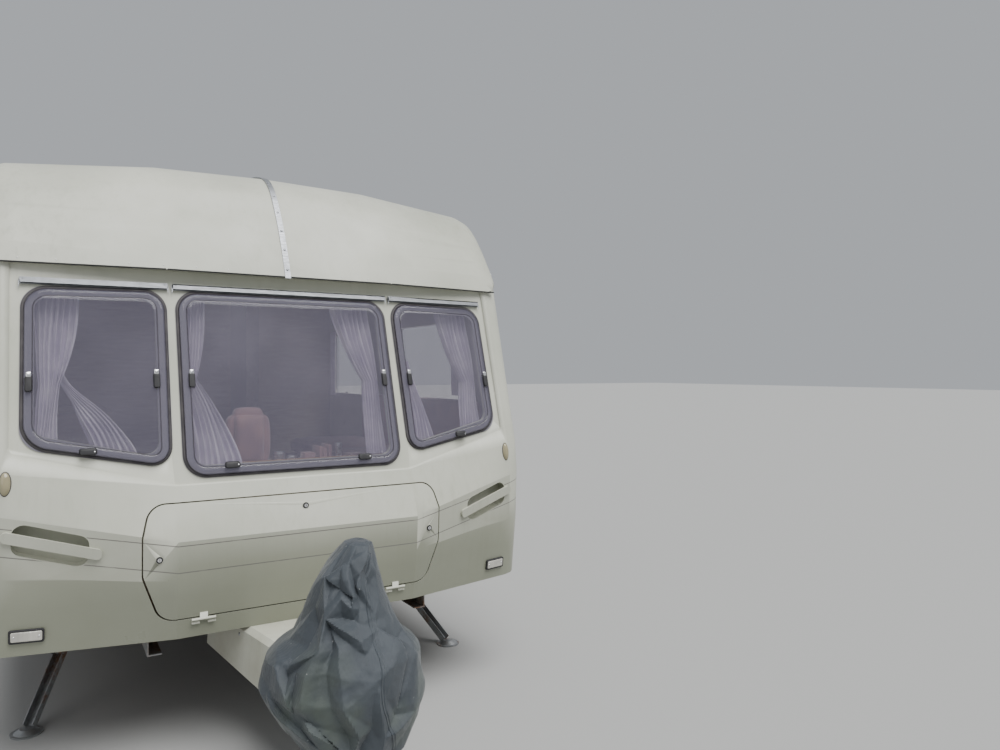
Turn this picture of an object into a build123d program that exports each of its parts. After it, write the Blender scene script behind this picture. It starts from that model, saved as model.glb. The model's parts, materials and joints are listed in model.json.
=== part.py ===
from build123d import *
import os
from math import atan2, cos, degrees, hypot, radians, sin

# Travel caravan, millimetres. Front toward -Y, entrance side toward +X, floor at Z = 0.
# Places along the body are set-backs, measured from the foremost line of the front panel.

# Body
body_length = 4700
body_width = 2200
skirt_z = 460
roof_z = 2460
wall = 28
rail_proud = 10
corner_r = 90
bend_x = 470
front_seam = 900
rear_seam = 4250
floor_top = 540
floor_t = 40

# Front openings
recess_depth = 8
pane_proud = 16
pane_t = 5
pane_flange = 14
seal_w = 10
window_lap = 34
window_r = 75
locker_gap = 5
locker_t = 24
locker_sill = 531
locker_head = 957
locker_r = 70

# Running gear
wheel_r = 300
tyre_w = 165
rim_r = 172
track = body_width - 250
axle_s = 2600
arch_r = 375
arch_gap = 26
stub_r = 24
stub_end = 30
drum_r = 115

# Hitch
coupling_z = 400
ball_s = -790
ball_r = 25.5
cover_t = 3
cover_hem = 400
cover_bib_s = -745
jockey_x = -120
jockey_s = -610
jockey_wheel_r = 95
jockey_trail = 30
jockey_bottom = 395
jockey_top = 780
jockey_travel = 150
brake_x = -26
brake_top = 897
draw_z = 385

# Steadies
steady_x = body_width / 2 - 360
steady_front_s = 978
steady_rear_s = 3760
steady_pin_z = 385
steady_reach = 410
steady_arm = 230
steady_splay = 29
foot_r = 58
fold_angle = 6

# Entrance door
door_s = 3330
door_w = 620
door_sill = 505
door_head = 2230
door_split = 1300
door_gap = 6

# Lamps
lamp_proud = 18

# Roof hatches
hatch_size = 420
hatch_small = 300
hatch_h = 55

# Cloth cover over the hitch: height, middle x, middle set-back, half width, half length
COVER_ROWS = (
    (255, -103, -765, 98, 98),
    (300, -76, -760, 140, 140),
    (cover_hem, -71, -701, 206, 206),
    (470, -88, -673, 234, 234),
    (540, -99, -664, 240, 240),
    (640, -104, -662, 184, 190),
    (715, -92, -668, 122, 135),
    (820, -83, -669, 88, 100),
    (905, -47, -662, 46, 60),
)

side_x = body_width / 2
cover_reach = max(length - s for z, x, s, width, length in COVER_ROWS)
rear_y = (body_length + cover_reach - lamp_proud) / 2
nose_y = rear_y - body_length
axle_y = nose_y + axle_s
inner_x = side_x - wall


# Outline of the body, from the skirt round the roof to the rear skirt.
# Columns: set-back and height on the middle facet, the same two at the side,
# the way in from the surface as (y, z), and how far the next edge bows out as a share of its length.
BODY_LINE = (
    ("front skirt", 50, skirt_z, 188, skirt_z, 1, 0, 0),
    ("under crease", 8, 678, 154, 742, 1, 0, 0),
    ("band crease", 0, 822, 146, 965, 1, 0, 0),
    ("shoulder", 74, 1010, 158, 1100, 1, 0, 0),
    ("window head", 331, 1830, 373, 1830, 1, 1, 0),
    ("lip", 278, 1830, 360, 1830, 1, 1, 0.035),
    ("brow", 483, 2171, 530, 2125, 0.77, -0.64, 0.079),
    ("crown", 678, 2315, 725, 2258, 0.3, -0.95, 0.027),
    ("roof front", 2030, roof_z, 2030, roof_z - 60, 0, -1, 0),
    ("roof rear", 4330, roof_z, 4330, roof_z - 60, 0, -1, 0.14),
    ("rear brow", 4630, 2120, 4610, 2090, -1, -0.2, 0),
    ("rear waist", body_length, 860, body_length - 10, 860, -1, 0, 0),
    ("rear skirt", body_length - 20, skirt_z, body_length - 30, skirt_z, -1, 0, 0),
)
ROUND_STEPS = (0, 30, 50, 70, 90)
RIDGE = 12


def block(x0, x1, y0, y1, z0, z1):
    """A box between two corners."""
    return Pos((x0 + x1) / 2, (y0 + y1) / 2, (z0 + z1) / 2) * Box(x1 - x0, y1 - y0, z1 - z0)


def rod(start, end, radius, bore=0):
    """A round bar or tube between two points."""
    a, b = Vector(*start), Vector(*end)
    plane = Plane(origin=a, z_dir=b - a)
    bar = extrude(plane * Circle(radius), amount=(b - a).length)
    if bore:
        bar -= extrude(plane * Circle(bore), amount=(b - a).length)
    return bar


def outline(points, radius=0):
    """A flat face from corner points, its corners rounded."""
    face = make_face(Polyline(*points, close=True))
    return fillet(face.vertices(), radius) if radius else face


def prism_x(points, x0, x1, radius=0):
    """Points are (y, z)."""
    return extrude(Plane.YZ.offset(x0) * outline(points, radius), amount=x1 - x0)


def prism_y(points, y0, y1, radius=0):
    """Points are (x, z)."""
    return extrude(Plane.XZ.offset(-y1) * outline(points, radius), amount=y1 - y0)


def mirrored(shape):
    """The shape and its twin on the other side."""
    return [shape, mirror(shape, about=Plane.YZ)]


def line_point(row, x, inset):
    """Where a corner of the body line lies at one place across the body."""
    s_mid, z_mid, s_side, z_side, in_y, in_z = row[1:7]
    share = max(0, (abs(x) - bend_x) / (side_x - bend_x))
    ridge = RIDGE * max(0, 1 - abs(x) / bend_x) if z_mid > 2000 else 0
    s = s_mid + share * (s_side - s_mid) + in_y * inset
    z = z_mid + share * (z_side - z_mid) + in_z * inset + ridge
    return Vector(x, nose_y + s, z)


def section_edges(points, bows):
    """Straight and bowed edges through points that lie in one plane across X."""
    edges = []
    for i, p in enumerate(points):
        q = points[(i + 1) % len(points)]
        if bows[i]:
            chord = q - p
            out = Vector(0, -chord.Z, chord.Y) * bows[i]
            edges.append(ThreePointArc(p, (p + q) / 2 + out, q))
        else:
            edges.append(Line(p, q))
    return edges


def run_on(end, before, drop):
    """The end of a line, carried on straight until it is lower by a drop."""
    return end + (end - before) * (drop / (before.Z - end.Z))


def body_section(x, inset, drop=0):
    """The body's outline at one place across it, as a face."""
    points = [line_point(row, x, inset) for row in BODY_LINE]
    bows = [row[7] for row in BODY_LINE]
    points[0] = run_on(points[0], points[1], drop)
    points[-1] = run_on(points[-1], points[-2], drop)
    return make_face(section_edges(points, bows))


def stations(t):
    """Places across the body, with how far the rounded edges draw in at each."""
    half = [(0, 0), (bend_x, 0)]
    radius = corner_r - t
    for angle in ROUND_STEPS:
        a = radians(angle)
        half.append((side_x - corner_r + radius * sin(a), radius * (1 - cos(a))))
    return [(-x, d) for x, d in reversed(half[1:])] + half


def body_form(t=0, drop=0):
    """The whole body, drawn in by t all round."""
    faces = [body_section(x, t + d, drop) for x, d in stations(t)]
    return loft(faces, ruled=True)


def front_slab(outer, inner):
    """A skin that follows the front panel between two depths below its surface."""
    rows = BODY_LINE[:5]
    faces = []
    for x in (-side_x + corner_r, -bend_x, bend_x, side_x - corner_r):
        points = [line_point(row, x, 0) + Vector(0, outer, 0) for row in rows]
        points += [line_point(row, x, 0) + Vector(0, inner, 0) for row in reversed(rows)]
        faces.append(make_face(Polyline(*points, close=True)))
    return loft(faces, ruled=True)


def front_layer(points, outer, inner, radius=0):
    """The part of such a skin inside an outline of (x, z) points."""
    return prism_y(points, nose_y - 200, nose_y + 600, radius) & front_slab(outer, inner)


def front_y(x, z):
    """How far forward the front panel's surface lies at a point of its outline."""
    corners = [line_point(row, x, 0) for row in BODY_LINE[:5]]
    for low, high in zip(corners, corners[1:]):
        if low.Z <= z <= high.Z:
            return low.Y + (high.Y - low.Y) * (z - low.Z) / (high.Z - low.Z)
    return corners[0].Y


# Front windows: corners as (x, z), from the inner top round to the inner bottom
CENTRE_WINDOW = ((-430, 1744), (430, 1744), (430, 1045), (-430, 1045))
SIDE_WINDOW = ((478, 1743), (side_x - 158, 1737), (side_x - 155, 1175), (482, 1085))
LOCKER_LINE = (
    (-560, locker_head), (560, locker_head), (587, 845), (587, 700),
    (528, locker_sill), (-528, locker_sill), (-587, 700), (-587, 845),
)
recess_x = side_x - 115
RECESS_LINE = (
    (-recess_x, 1900), (recess_x, 1900), (recess_x, 1150),
    (462, 1018), (-462, 1018), (-recess_x, 1150),
)

# Windows in the side walls and the rear: side, first and last set-back, sill, head
SIDE_WINDOWS = (
    (1, 640, 1640, 1150, 1740),
    (1, 2020, 2860, 1230, 1740),
    (-1, 640, 1640, 1150, 1740),
    (-1, 2080, 2920, 1290, 1740),
    (-1, 3660, 4060, 1390, 1740),
)
REAR_WINDOW = (-440, 440, 1180, 1740)

# Grab handles at the front: middle as (x, z), half length, slope
HANDLE_X = side_x - 238
HANDLE_Z = 838
HANDLE_HALF = 118
HANDLE_SLOPE = 0.29

# Lamps: middle of the front markers, and the outline of the front lamps as x and z limits
FRONT_MARKER = (side_x - 107, 1053)
MARKER_SIZE = (17, 40)
FRONT_LAMP = (side_x - 220, side_x - 114, 506, 554)


def grown(points, by):
    """Corner points moved out from their middle, each way by the same distance."""
    mx = sum(p[0] for p in points) / len(points)
    mz = sum(p[1] for p in points) / len(points)
    return [(x + (by if x > mx else -by), z + (by if z > mz else -by)) for x, z in points]


def flipped(points):
    """The same outline on the other side."""
    return [(-x, z) for x, z in points]


def front_window_lines():
    return (CENTRE_WINDOW, SIDE_WINDOW, flipped(SIDE_WINDOW))


def handle_line(grow=0):
    """The scoop behind a front grab handle, rising toward the side."""
    half, rise = HANDLE_HALF + grow, 58 + grow
    tilt = HANDLE_SLOPE * half
    return (
        (HANDLE_X - half, HANDLE_Z - tilt - rise), (HANDLE_X + half, HANDLE_Z + tilt - rise),
        (HANDLE_X + half, HANDLE_Z + tilt + rise), (HANDLE_X - half, HANDLE_Z - tilt + rise),
    )


# Shell of the body, cut into its panels

def side_line(inset):
    """The flat part of the side, as (y, z) corners and the bows between them."""
    rows = [row for row in BODY_LINE if row[0] != "window head"]
    points = [line_point(row, side_x, inset) for row in rows]
    return points, [row[7] for row in rows]


def side_plate(x0, x1):
    points, bows = side_line(corner_r + 2)
    face = make_face(section_edges([Vector(x0, p.Y, p.Z) for p in points], bows))
    return extrude(face, amount=x1 - x0, dir=(1, 0, 0))


def arch_cut(x0, x1):
    """The wheel arch: a half round on straight jambs."""
    lift = wheel_r + arch_gap + 8
    jamb = block(x0, x1, axle_y - arch_r, axle_y + arch_r, skirt_z - 20, wheel_r + 230)
    dome = Pos((x0 + x1) / 2, axle_y, wheel_r) * Rot(0, 90, 0) * Cylinder(arch_r, x1 - x0)
    top = block(x0, x1, axle_y - arch_r, axle_y + arch_r, skirt_z - 20, wheel_r + lift)
    return (jamb + dome) & top


def side_window_points(row, grow=0):
    s0, s1, sill, head = row[1:]
    return (
        (nose_y + s0 - grow, sill - grow), (nose_y + s1 + grow, sill - grow),
        (nose_y + s1 + grow, head + grow), (nose_y + s0 - grow, head + grow),
    )


def side_wall(side):
    panel = side_plate(inner_x, side_x)
    panel -= arch_cut(inner_x - 5, side_x + 5)
    for row in SIDE_WINDOWS:
        if row[0] == side:
            panel -= prism_x(side_window_points(row, -window_lap), inner_x - 5, side_x + 5, 45)
    if side > 0:
        panel -= prism_x(door_points(0), inner_x - 5, side_x + 5, 30)
    return panel if side > 0 else mirror(panel, about=Plane.YZ)


def door_points(gap, low=door_sill, high=door_head):
    y0, y1 = nose_y + door_s + gap, nose_y + door_s + door_w - gap
    return ((y0, low + gap), (y1, low + gap), (y1, high - gap), (y0, high - gap))


shell = body_form() - body_form(wall, 60)
for x0, x1 in ((inner_x, side_x + 2), (-side_x - 2, -inner_x)):
    shell -= side_plate(x0, x1)


def region(s0, s1, z0, z1):
    return block(-side_x - 5, side_x + 5, nose_y + s0, nose_y + s1, z0, z1)


def front_panel():
    lip_z = BODY_LINE[4][2]
    panel = shell & region(-50, front_seam, skirt_z - 5, lip_z)
    panel -= front_layer(RECESS_LINE, -5, recess_depth, 30)
    for line in front_window_lines():
        panel -= prism_y(grown(line, -window_lap), nose_y - 50, nose_y + 500, window_r - 30)
    panel -= prism_y(LOCKER_LINE, nose_y - 50, nose_y + 300, locker_r)
    for cut in mirrored(prism_y(handle_line(), nose_y - 50, nose_y + 300, 40)):
        panel -= cut
    return panel


def roof_moulding():
    return shell & region(-50, front_seam, BODY_LINE[4][2], roof_z + 50)


HATCHES = ((0, 2310, hatch_size), (250, 3000, hatch_small))


def roof_panel():
    panel = shell & region(front_seam, rear_seam, 1900, roof_z + 50)
    for x, s, size in HATCHES:
        half = size / 2 - 30
        y = nose_y + s
        panel -= block(x - half, x + half, y - half, y + half, roof_z - 150, roof_z + 50)
    return panel


def rear_panel():
    panel = shell & region(rear_seam, body_length + 50, skirt_z - 5, roof_z + 50)
    x0, x1, sill, head = REAR_WINDOW
    lap = window_lap
    x0, x1, sill, head = x0 + lap, x1 - lap, sill + lap, head - lap
    opening = ((x0, sill), (x1, sill), (x1, head), (x0, head))
    return panel - prism_y(opening, rear_y - 250, rear_y + 50, 45)


def floor():
    panel = body_form(wall, 60) & block(-inner_x, inner_x, nose_y, rear_y, floor_top - floor_t, floor_top)
    for cut in mirrored(wheel_box()):
        panel -= cut
    return panel


def wheel_box(t=0, past=0):
    """The space of a wheel box, drawn in by t and running past the wall's inner face."""
    half, top = arch_r + 20 - t, wheel_r + 345 - t
    return block(side_x - 330 + t, inner_x + past, axle_y - half, axle_y + half, 440, top)


def wheel_boxes():
    return mirrored(wheel_box() - wheel_box(4, 10))


def joint_strip():
    """The raised bright strip over the joint in the middle of the moulding."""
    rows = BODY_LINE[5:8]
    bows = [row[7] for row in rows]
    end = Vector(0, nose_y + front_seam, line_point(rows[-1], 0, 0).Z + 50)
    high = [line_point(row, 0, -5) for row in rows] + [end]
    low = [line_point(row, 0, 6) for row in rows] + [end - Vector(0, 0, 11)]
    edges = section_edges(high, bows + [0])[:3] + section_edges(low, bows + [0])[:3]
    edges += [Line(high[0], low[0]), Line(high[-1], low[-1])]
    return extrude(make_face(edges), amount=12, both=True) - body_form()


def corner_rails():
    """Aluminium rails where the side walls meet the front, the roof and the rear."""
    plates = []
    for inset in (corner_r + 14, corner_r + 30):
        points, bows = side_line(inset)
        face = make_face(section_edges([Vector(side_x, p.Y, p.Z) for p in points], bows))
        plates.append(extrude(face, amount=rail_proud, dir=(1, 0, 0)))
    band = plates[0] - plates[1]
    foot = block(side_x - 5, side_x + rail_proud + 5, nose_y - 50, rear_y + 50, skirt_z - 50, skirt_z + 40)
    return mirrored(band - foot)


# Front windows and their fittings

def front_windows():
    panes = []
    top = recess_depth - pane_proud - pane_t
    for line in front_window_lines():
        skin = front_layer(line, top, top + pane_t, window_r)
        rim = front_layer(line, top + pane_t, recess_depth - 4, window_r)
        rim -= front_layer(grown(line, -pane_flange), top + pane_t - 2, recess_depth, window_r - 14)
        panes.append(skin + rim)
    return panes


def window_seals():
    seals = []
    for line in front_window_lines():
        ring = front_layer(grown(line, seal_w), recess_depth - 4, recess_depth, window_r + seal_w)
        hole = prism_y(grown(line, -window_lap), nose_y - 50, nose_y + 500, window_r - 30)
        seals.append(ring - hole)
    for row in SIDE_WINDOWS:
        ring = prism_x(side_window_points(row, 6), side_x, side_x + 4, 56)
        ring -= prism_x(side_window_points(row, -window_lap), side_x - 5, side_x + 9, 45)
        seals.append(ring if row[0] > 0 else mirror(ring, about=Plane.YZ))
    return seals


def window_rails():
    rails = []
    outer = side_x - 147
    for x0, x1 in ((-445, 445), (467, outer), (-outer, -467)):
        line = ((x0, 1757), (x1, 1757), (x1, 1772), (x0, 1772))
        rails.append(front_layer(line, recess_depth - 20, recess_depth))
    return rails


def side_windows():
    panes = []
    for row in SIDE_WINDOWS:
        pane = prism_x(side_window_points(row), side_x + 4, side_x + 22, 50)
        pane -= prism_x(side_window_points(row, -pane_flange), side_x, side_x + 17, 40)
        panes.append(pane if row[0] > 0 else mirror(pane, about=Plane.YZ))
    return panes


def rear_window():
    x0, x1, sill, head = REAR_WINDOW
    low = line_point(BODY_LINE[11], 0, 0)
    high = line_point(BODY_LINE[10], 0, 0)
    lean = (low.Y - high.Y) / (high.Z - low.Z)
    y0 = low.Y - (sill - low.Z) * lean
    y1 = low.Y - (head - low.Z) * lean
    points = ((x0, sill), (x1, sill), (x1, head), (x0, head))
    pane = prism_y(points, rear_y - 300, rear_y + 100, 50)
    skin = prism_x(((y0 + 0.3, sill), (y0 + 18, sill), (y1 + 18, head), (y1 + 0.3, head)), x0, x1)
    return pane & skin


# Locker door, hung at its bottom edge

HINGE_PLACES = (-380, 380)
LOCKS = ((-531, 763), (531, 763), (0, 907))

knuckle_r = 6
hinge_y = front_y(0, locker_sill) - knuckle_r - 1
hinge_z = locker_sill - 5


def locker_door():
    door = front_layer(grown(LOCKER_LINE, -locker_gap), 0, locker_t, locker_r - locker_gap)
    for x in HINGE_PLACES:
        x0, x1 = x - 13.7, x + 13.7
        knuckle = rod((x0, hinge_y, hinge_z), (x1, hinge_y, hinge_z), knuckle_r)
        leaf = block(x0, x1, hinge_y - 2, hinge_y + knuckle_r, hinge_z, hinge_z + 24)
        root = block(x0, x1, hinge_y - 2, hinge_y + 14, hinge_z + 11, hinge_z + 24)
        door += knuckle + leaf + root
    for x, z in LOCKS:
        door += rod((x, front_y(x, z) + 6, z), (x, front_y(x, z) - 3, z), 13)
    return door


def locker_hinges():
    """The fixed knuckles under the locker door."""
    pieces = []
    for x in HINGE_PLACES:
        for dx in (-42, 14):
            knuckle = rod((x + dx, hinge_y, hinge_z), (x + dx + 28, hinge_y, hinge_z), knuckle_r)
            leaf = block(x + dx, x + dx + 28, hinge_y, hinge_y + 20, hinge_z - 15, hinge_z - 2)
            pieces.append(knuckle + (leaf - body_form()))
    return pieces


# Handles and lamps

def grab_handles():
    """Front grab handles: a scoop with a bar across it, on each side."""
    scoop = front_layer(handle_line(), 0, 62, 40) - front_layer(handle_line(-3), -2, 59, 37)
    a = HANDLE_HALF + 26
    x0, x1 = HANDLE_X - a - 8, HANDLE_X + a
    z0, z1 = HANDLE_Z - HANDLE_SLOPE * a, HANDLE_Z + HANDLE_SLOPE * a
    line = ((x0, z0 - 19), (x1, z1 - 19), (x1, z1 + 19), (x0, z0 + 19))
    bar = front_layer(line, -14, 0, 15)
    return mirrored(scoop + bar)


def marker_lamps():
    lamps = []
    x, z = FRONT_MARKER
    oval = Plane.XZ.offset(-(front_y(x, z) + 60)) * Pos(x, z) * Ellipse(*MARKER_SIZE)
    lamps += mirrored(extrude(oval, amount=200) & front_slab(-14, 0))
    for s in (1500, 3200):
        oval = Plane.YZ.offset(side_x) * Pos(nose_y + s, 620) * Ellipse(34, 17)
        lamps += mirrored(extrude(oval, amount=12))
    return lamps


def front_lamps():
    x0, x1, z0, z1 = FRONT_LAMP
    return mirrored(front_layer(((x0, z0), (x1, z0), (x1, z1), (x0, z1)), -12, 0, 5))


def rear_lamps():
    """Rear clusters, one block on each side."""
    lamp = block(side_x - 400, side_x - 140, rear_y - 26, rear_y + lamp_proud, 560, 680)
    return mirrored(lamp - body_form())


# Roof hatches: a fixed frame with a hinged lid on it

def hatch_frames():
    frames = []
    for x, s, size in HATCHES:
        half, y = size / 2, nose_y + s
        ring = block(x - half, x + half, y - half, y + half, roof_z - 45, roof_z + 22)
        ring += block(x - half - 14, x + half + 14, y - half - 14, y + half + 14, roof_z + 14, roof_z + 22)
        ring -= block(x - half + 30, x + half - 30, y - half + 30, y + half - 30, roof_z - 60, roof_z + 40)
        frames.append(ring - body_form())
    return frames


def hatch_lid(index):
    x, s, size = HATCHES[index]
    half, y, z = size / 2 + 12, nose_y + s, roof_z + 22.3
    lid = Pos(x, y, z + hatch_h / 2) * Box(2 * half, 2 * half, hatch_h)
    lid = fillet(lid.edges().filter_by(Axis.Z), 40)
    lid = fillet(lid.faces().sort_by(Axis.Z)[-1].edges(), 18)
    return lid - block(x - half + 5, x + half - 5, y - half + 5, y + half - 5, z - 5, z + hatch_h - 6)


# Entrance door in two leaves

def door_leaf(low, high):
    leaf = prism_x(door_points(door_gap, low, high), inner_x + 2, side_x, 24)
    for z in DOOR_HINGES:
        if low < z < high:
            leaf += hinge_half(z + 32.3, 60)
    return leaf


DOOR_WINDOW = (1420, 2020)
DOOR_HINGES = (620, 1180, 1420, 2110)
door_axis_x = side_x + 8
door_axis_y = nose_y + door_s + door_gap / 2


def hinge_half(z, reach):
    """A knuckle with its strap; reach is negative on the wall."""
    y0, y1 = sorted((door_axis_y, door_axis_y + reach))
    strap = block(side_x, side_x + 4, y0, y1, z, z + 32)
    web = block(side_x, door_axis_x, door_axis_y - 3, door_axis_y + 3, z, z + 32)
    return strap + web + rod((door_axis_x, door_axis_y, z), (door_axis_x, door_axis_y, z + 32), 7)


def door_hinges():
    return [hinge_half(z, -48) for z in DOOR_HINGES]


def door_upper():
    leaf = door_leaf(door_split - 2, door_head)
    sill, head = DOOR_WINDOW
    y0, y1 = nose_y + door_s + 110, nose_y + door_s + door_w - 110
    opening = ((y0, sill), (y1, sill), (y1, head), (y0, head))
    return leaf - prism_x(opening, inner_x - 5, side_x + 5, 40)


def door_window():
    sill, head = DOOR_WINDOW
    y0, y1 = nose_y + door_s + 90, nose_y + door_s + door_w - 90
    line = ((y0, sill - 20), (y1, sill - 20), (y1, head + 20), (y0, head + 20))
    return prism_x(line, side_x, side_x + 8, 55)


# Wheels, axle and frame

def wheel(side):
    """Steel wheel: rim, pierced disc and hub, about the X axis."""
    half = 62
    edge = rim_r + 8
    rim = ((-half, 165), (-half, edge), (-half + 5, edge), (-half + 8, 166), (-20, 160), (-12, 146),
           (22, 146), (30, 160), (half - 8, 166), (half - 5, edge), (half, edge), (half, 161),
           (28, 155), (20, 141), (-12, 141), (-20, 154))
    disc = ((28, 30), (34, 52), (34, 86), (18, 112), (10, 143), (14, 143), (24, 112), (40, 86), (40, 30))
    body = revolve(Plane.XY * make_face(Polyline(*rim, close=True)), axis=Axis.X)
    body += revolve(Plane.XY * make_face(Polyline(*disc, close=True)), axis=Axis.X)
    body += rod((-8, 0, 0), (48, 0, 0), 38)
    body -= rod((-10, 0, 0), (stub_end + 0.3, 0, 0), stub_r + 0.05)
    for i in range(8):
        body -= Rot(i * 45, 0, 0) * Pos(20, 0, 116) * Rot(0, 90, 0) * Cylinder(13, 60)
    return place_wheel(body, side)


def tyre(side):
    """Carcass with a bead at each flange."""
    half, shoulder, bead = tyre_w / 2, wheel_r - 12, rim_r + 11
    seat = rim_r - 5.7
    line = [
        Line((-53, seat), (-53, bead)),
        ThreePointArc((-53, bead), (-half, 240), (-64, shoulder)),
        ThreePointArc((-64, shoulder), (-58, wheel_r - 4), (-46, wheel_r)),
        Line((-46, wheel_r), (46, wheel_r)),
        ThreePointArc((46, wheel_r), (58, wheel_r - 4), (64, shoulder)),
        ThreePointArc((64, shoulder), (half, 240), (53, bead)),
        Line((53, bead), (53, seat)),
        Line((53, seat), (44, seat)),
        ThreePointArc((44, seat), (70, 235), (40, 284)),
        Line((40, 284), (-40, 284)),
        ThreePointArc((-40, 284), (-70, 235), (-44, seat)),
        Line((-44, seat), (-53, seat)),
    ]
    return place_wheel(revolve(make_face(line), axis=Axis.X), side)


def place_wheel(body, side):
    body = Pos(track / 2, axle_y, wheel_r) * body
    return body if side > 0 else mirror(body, about=Plane.YZ)


def axle():
    """Hexagon tube with a trailing arm, stub and drum at each end."""
    z, y = 330, axle_y - 150
    hub = track / 2
    tube_end, arm_end = hub - 285, hub - 253
    tube = Plane.YZ.offset(-tube_end) * Pos(y, z) * RegularPolygon(50, 6)
    beam = extrude(tube, amount=2 * tube_end)
    arm_line = (
        (y - 35, z - 35), (y - 35, z + 35),
        (axle_y + 25, wheel_r + 32), (axle_y + 25, wheel_r - 32),
    )
    arm = prism_x(arm_line, tube_end, arm_end, 12)
    arm += rod((arm_end, axle_y, wheel_r), (hub - 66, axle_y, wheel_r), 26)
    drum = rod((hub - 135, axle_y, wheel_r), (hub + 3, axle_y, wheel_r), drum_r)
    drum -= rod((hub - 17, axle_y, wheel_r), (hub + 8, axle_y, wheel_r), 46)
    drum += rod((arm_end, axle_y, wheel_r), (hub + stub_end, axle_y, wheel_r), stub_r)
    for piece in mirrored(arm + drum):
        beam += piece
    for side in (-1, 1):
        beam += block(side * 536 - 24, side * 536 + 24, y - 60, y + 60, z, 389.8)
    return beam


RAIL_X = 560
# Set-back, and how far each end stops short of the side
CROSS_MEMBERS = ((260, 200), (1180, 60), (2170, 60), (3030, 60), (3560, 60), (4540, 100))


def chassis():
    rail_line = ((0, 0), (50, 0), (50, 5), (5, 5), (5, 105), (50, 105), (50, 110), (0, 110))
    rail = extrude(Plane.XZ.offset(-(nose_y + 120)) * outline(rail_line), amount=-4440)
    rail = Pos(RAIL_X - 50, 0, 390) * mirror(Pos(-50, 0, 0) * rail, about=Plane.YZ)
    frame = rail + mirror(rail, about=Plane.YZ)
    for s, short in CROSS_MEMBERS:
        y, half = nose_y + s, side_x - short
        frame += block(-half, half, y - 20, y + 20, 456, floor_top - floor_t)
    return frame


def drawbar():
    """Two members from the chassis rails to the overrun housing."""
    members = None
    for side in (-1, 1):
        start = Vector(side * 90, nose_y - 422, draw_z)
        end = Vector(side * 478, nose_y + 1560, draw_z)
        plane = Plane(origin=start, z_dir=end - start, x_dir=(0, 0, 1))
        bar = extrude(plane * (Rectangle(90, 44) - Rectangle(80, 34)), amount=(end - start).length)
        members = bar if members is None else members + bar
    members += block(-108, 108, nose_y - 439.7, nose_y - 410, draw_z - 45, draw_z + 45)
    for side in (-1, 1):
        x0, x1 = sorted((side * 470, side * (RAIL_X - 5.2)))
        members += block(x0, x1, nose_y + 1440, nose_y + 1560, draw_z + 30, 490)
    return members


def overrun_housing():
    y0, y1 = nose_y - 620, nose_y - 440
    body = block(-42, 42, y0, y1, draw_z - 40, coupling_z + 45)
    body = fillet(body.edges().filter_by(Axis.Y), 14)
    body -= rod((0, y0 - 5, coupling_z), (0, y0 + 150, coupling_z), 25.3)
    y = nose_y + jockey_s
    body += block(jockey_x + 25.3, -42, y - 16, y + 20, coupling_z - 12, coupling_z + 28)
    return body


def coupling_head():
    """Cast head with the ball socket under it and its handle on top."""
    y0 = nose_y - 842
    body = block(-40, 40, y0, y0 + 105, coupling_z - 36, coupling_z + 34)
    body = fillet(body.edges().filter_by(Axis.Z), 28)
    body += rod((0, y0 + 100, coupling_z), (0, y0 + 175, coupling_z), 36)
    body += rod((0, y0 + 61, coupling_z), (0, nose_y - 480, coupling_z), 25)
    body -= Pos(0, nose_y + ball_s, 0) * rod((0, 0, coupling_z - 40), (0, 0, coupling_z - 8), ball_r)
    handle = prism_x(((y0 + 20, coupling_z + 34), (y0 + 60, coupling_z + 34), (y0 + 150, coupling_z + 80),
                      (y0 + 150, coupling_z + 92), (y0 + 40, coupling_z + 62)), -16, 16, 4)
    return body + handle


def gaiter():
    """Pleated rubber sleeve between head and housing."""
    y0, y1, folds = nose_y - 664, nose_y - 622, 5
    step = (y1 - y0) / folds
    points = [(25.1, y0)]
    for i in range(folds):
        points += [(34, y0 + i * step), (40, y0 + (i + 0.5) * step)]
    points += [(34, y1), (25.1, y1)]
    sleeve = revolve(make_face(Polyline(*points, close=True)), axis=Axis.Y)
    return Pos(0, 0, coupling_z) * sleeve


def hand_brake():
    x = brake_x
    start, knee = (x, nose_y - 500, coupling_z + 60), (x, nose_y - 530, coupling_z + 130)
    end = (x, nose_y - 652, brake_top)
    lever = rod(start, knee, 11) + rod(knee, end, 11) + Pos(*knee) * Sphere(11)
    lever += rod((x, nose_y - 632, brake_top - 66), end, 15)
    ears = block(x - 16, x + 16, nose_y - 540, nose_y - 460, coupling_z + 45.3, coupling_z + 74)
    return lever + ears


def jockey_tube():
    """Outer tube in its clamp, with the crank on top."""
    x, y = jockey_x, nose_y + jockey_s
    top = jockey_top
    tube = rod((x, y, jockey_bottom), (x, y, top), 24, 18.5)
    cap = rod((x, y, top), (x, y, top + 12), 25)
    crank = rod((x, y, top + 12), (x, y, top + 24), 7)
    crank += block(x - 7, x + 7, y - 70, y + 7, top + 20, top + 28)
    crank += rod((x, y - 63, top + 28), (x, y - 63, top + 50), 9)
    clamp = block(x - 34, x + 25, y - 20, y + 20, coupling_z - 10, coupling_z + 26)
    clamp -= rod((x, y, 300), (x, y, 600), 23.9)
    return tube + cap + crank + clamp


def jockey_stem():
    x, y = jockey_x, nose_y + jockey_s
    top = jockey_top - jockey_travel - 6
    return rod((x, y, 232), (x, y, top), 18) + rod((x, y, 222), (x, y, 232), 26)


def jockey_fork():
    x, y = jockey_x, nose_y + jockey_s
    axle = y + jockey_trail
    crown = rod((x, y, 206), (x, y, 221.7), 26) + block(x - 34, x + 34, y - 18, y + 40, 200, 208)
    for side in (-1, 1):
        x0 = x + side * 31
        cheek = ((y - 18, 208), (y + 40, 208), (axle + 14, 85), (axle - 14, 85))
        crown += prism_x(cheek, x0 - 3, x0 + 3)
    pin = rod((x - 36, axle, jockey_wheel_r), (x + 36, axle, jockey_wheel_r), 6)
    return crown + pin


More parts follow.
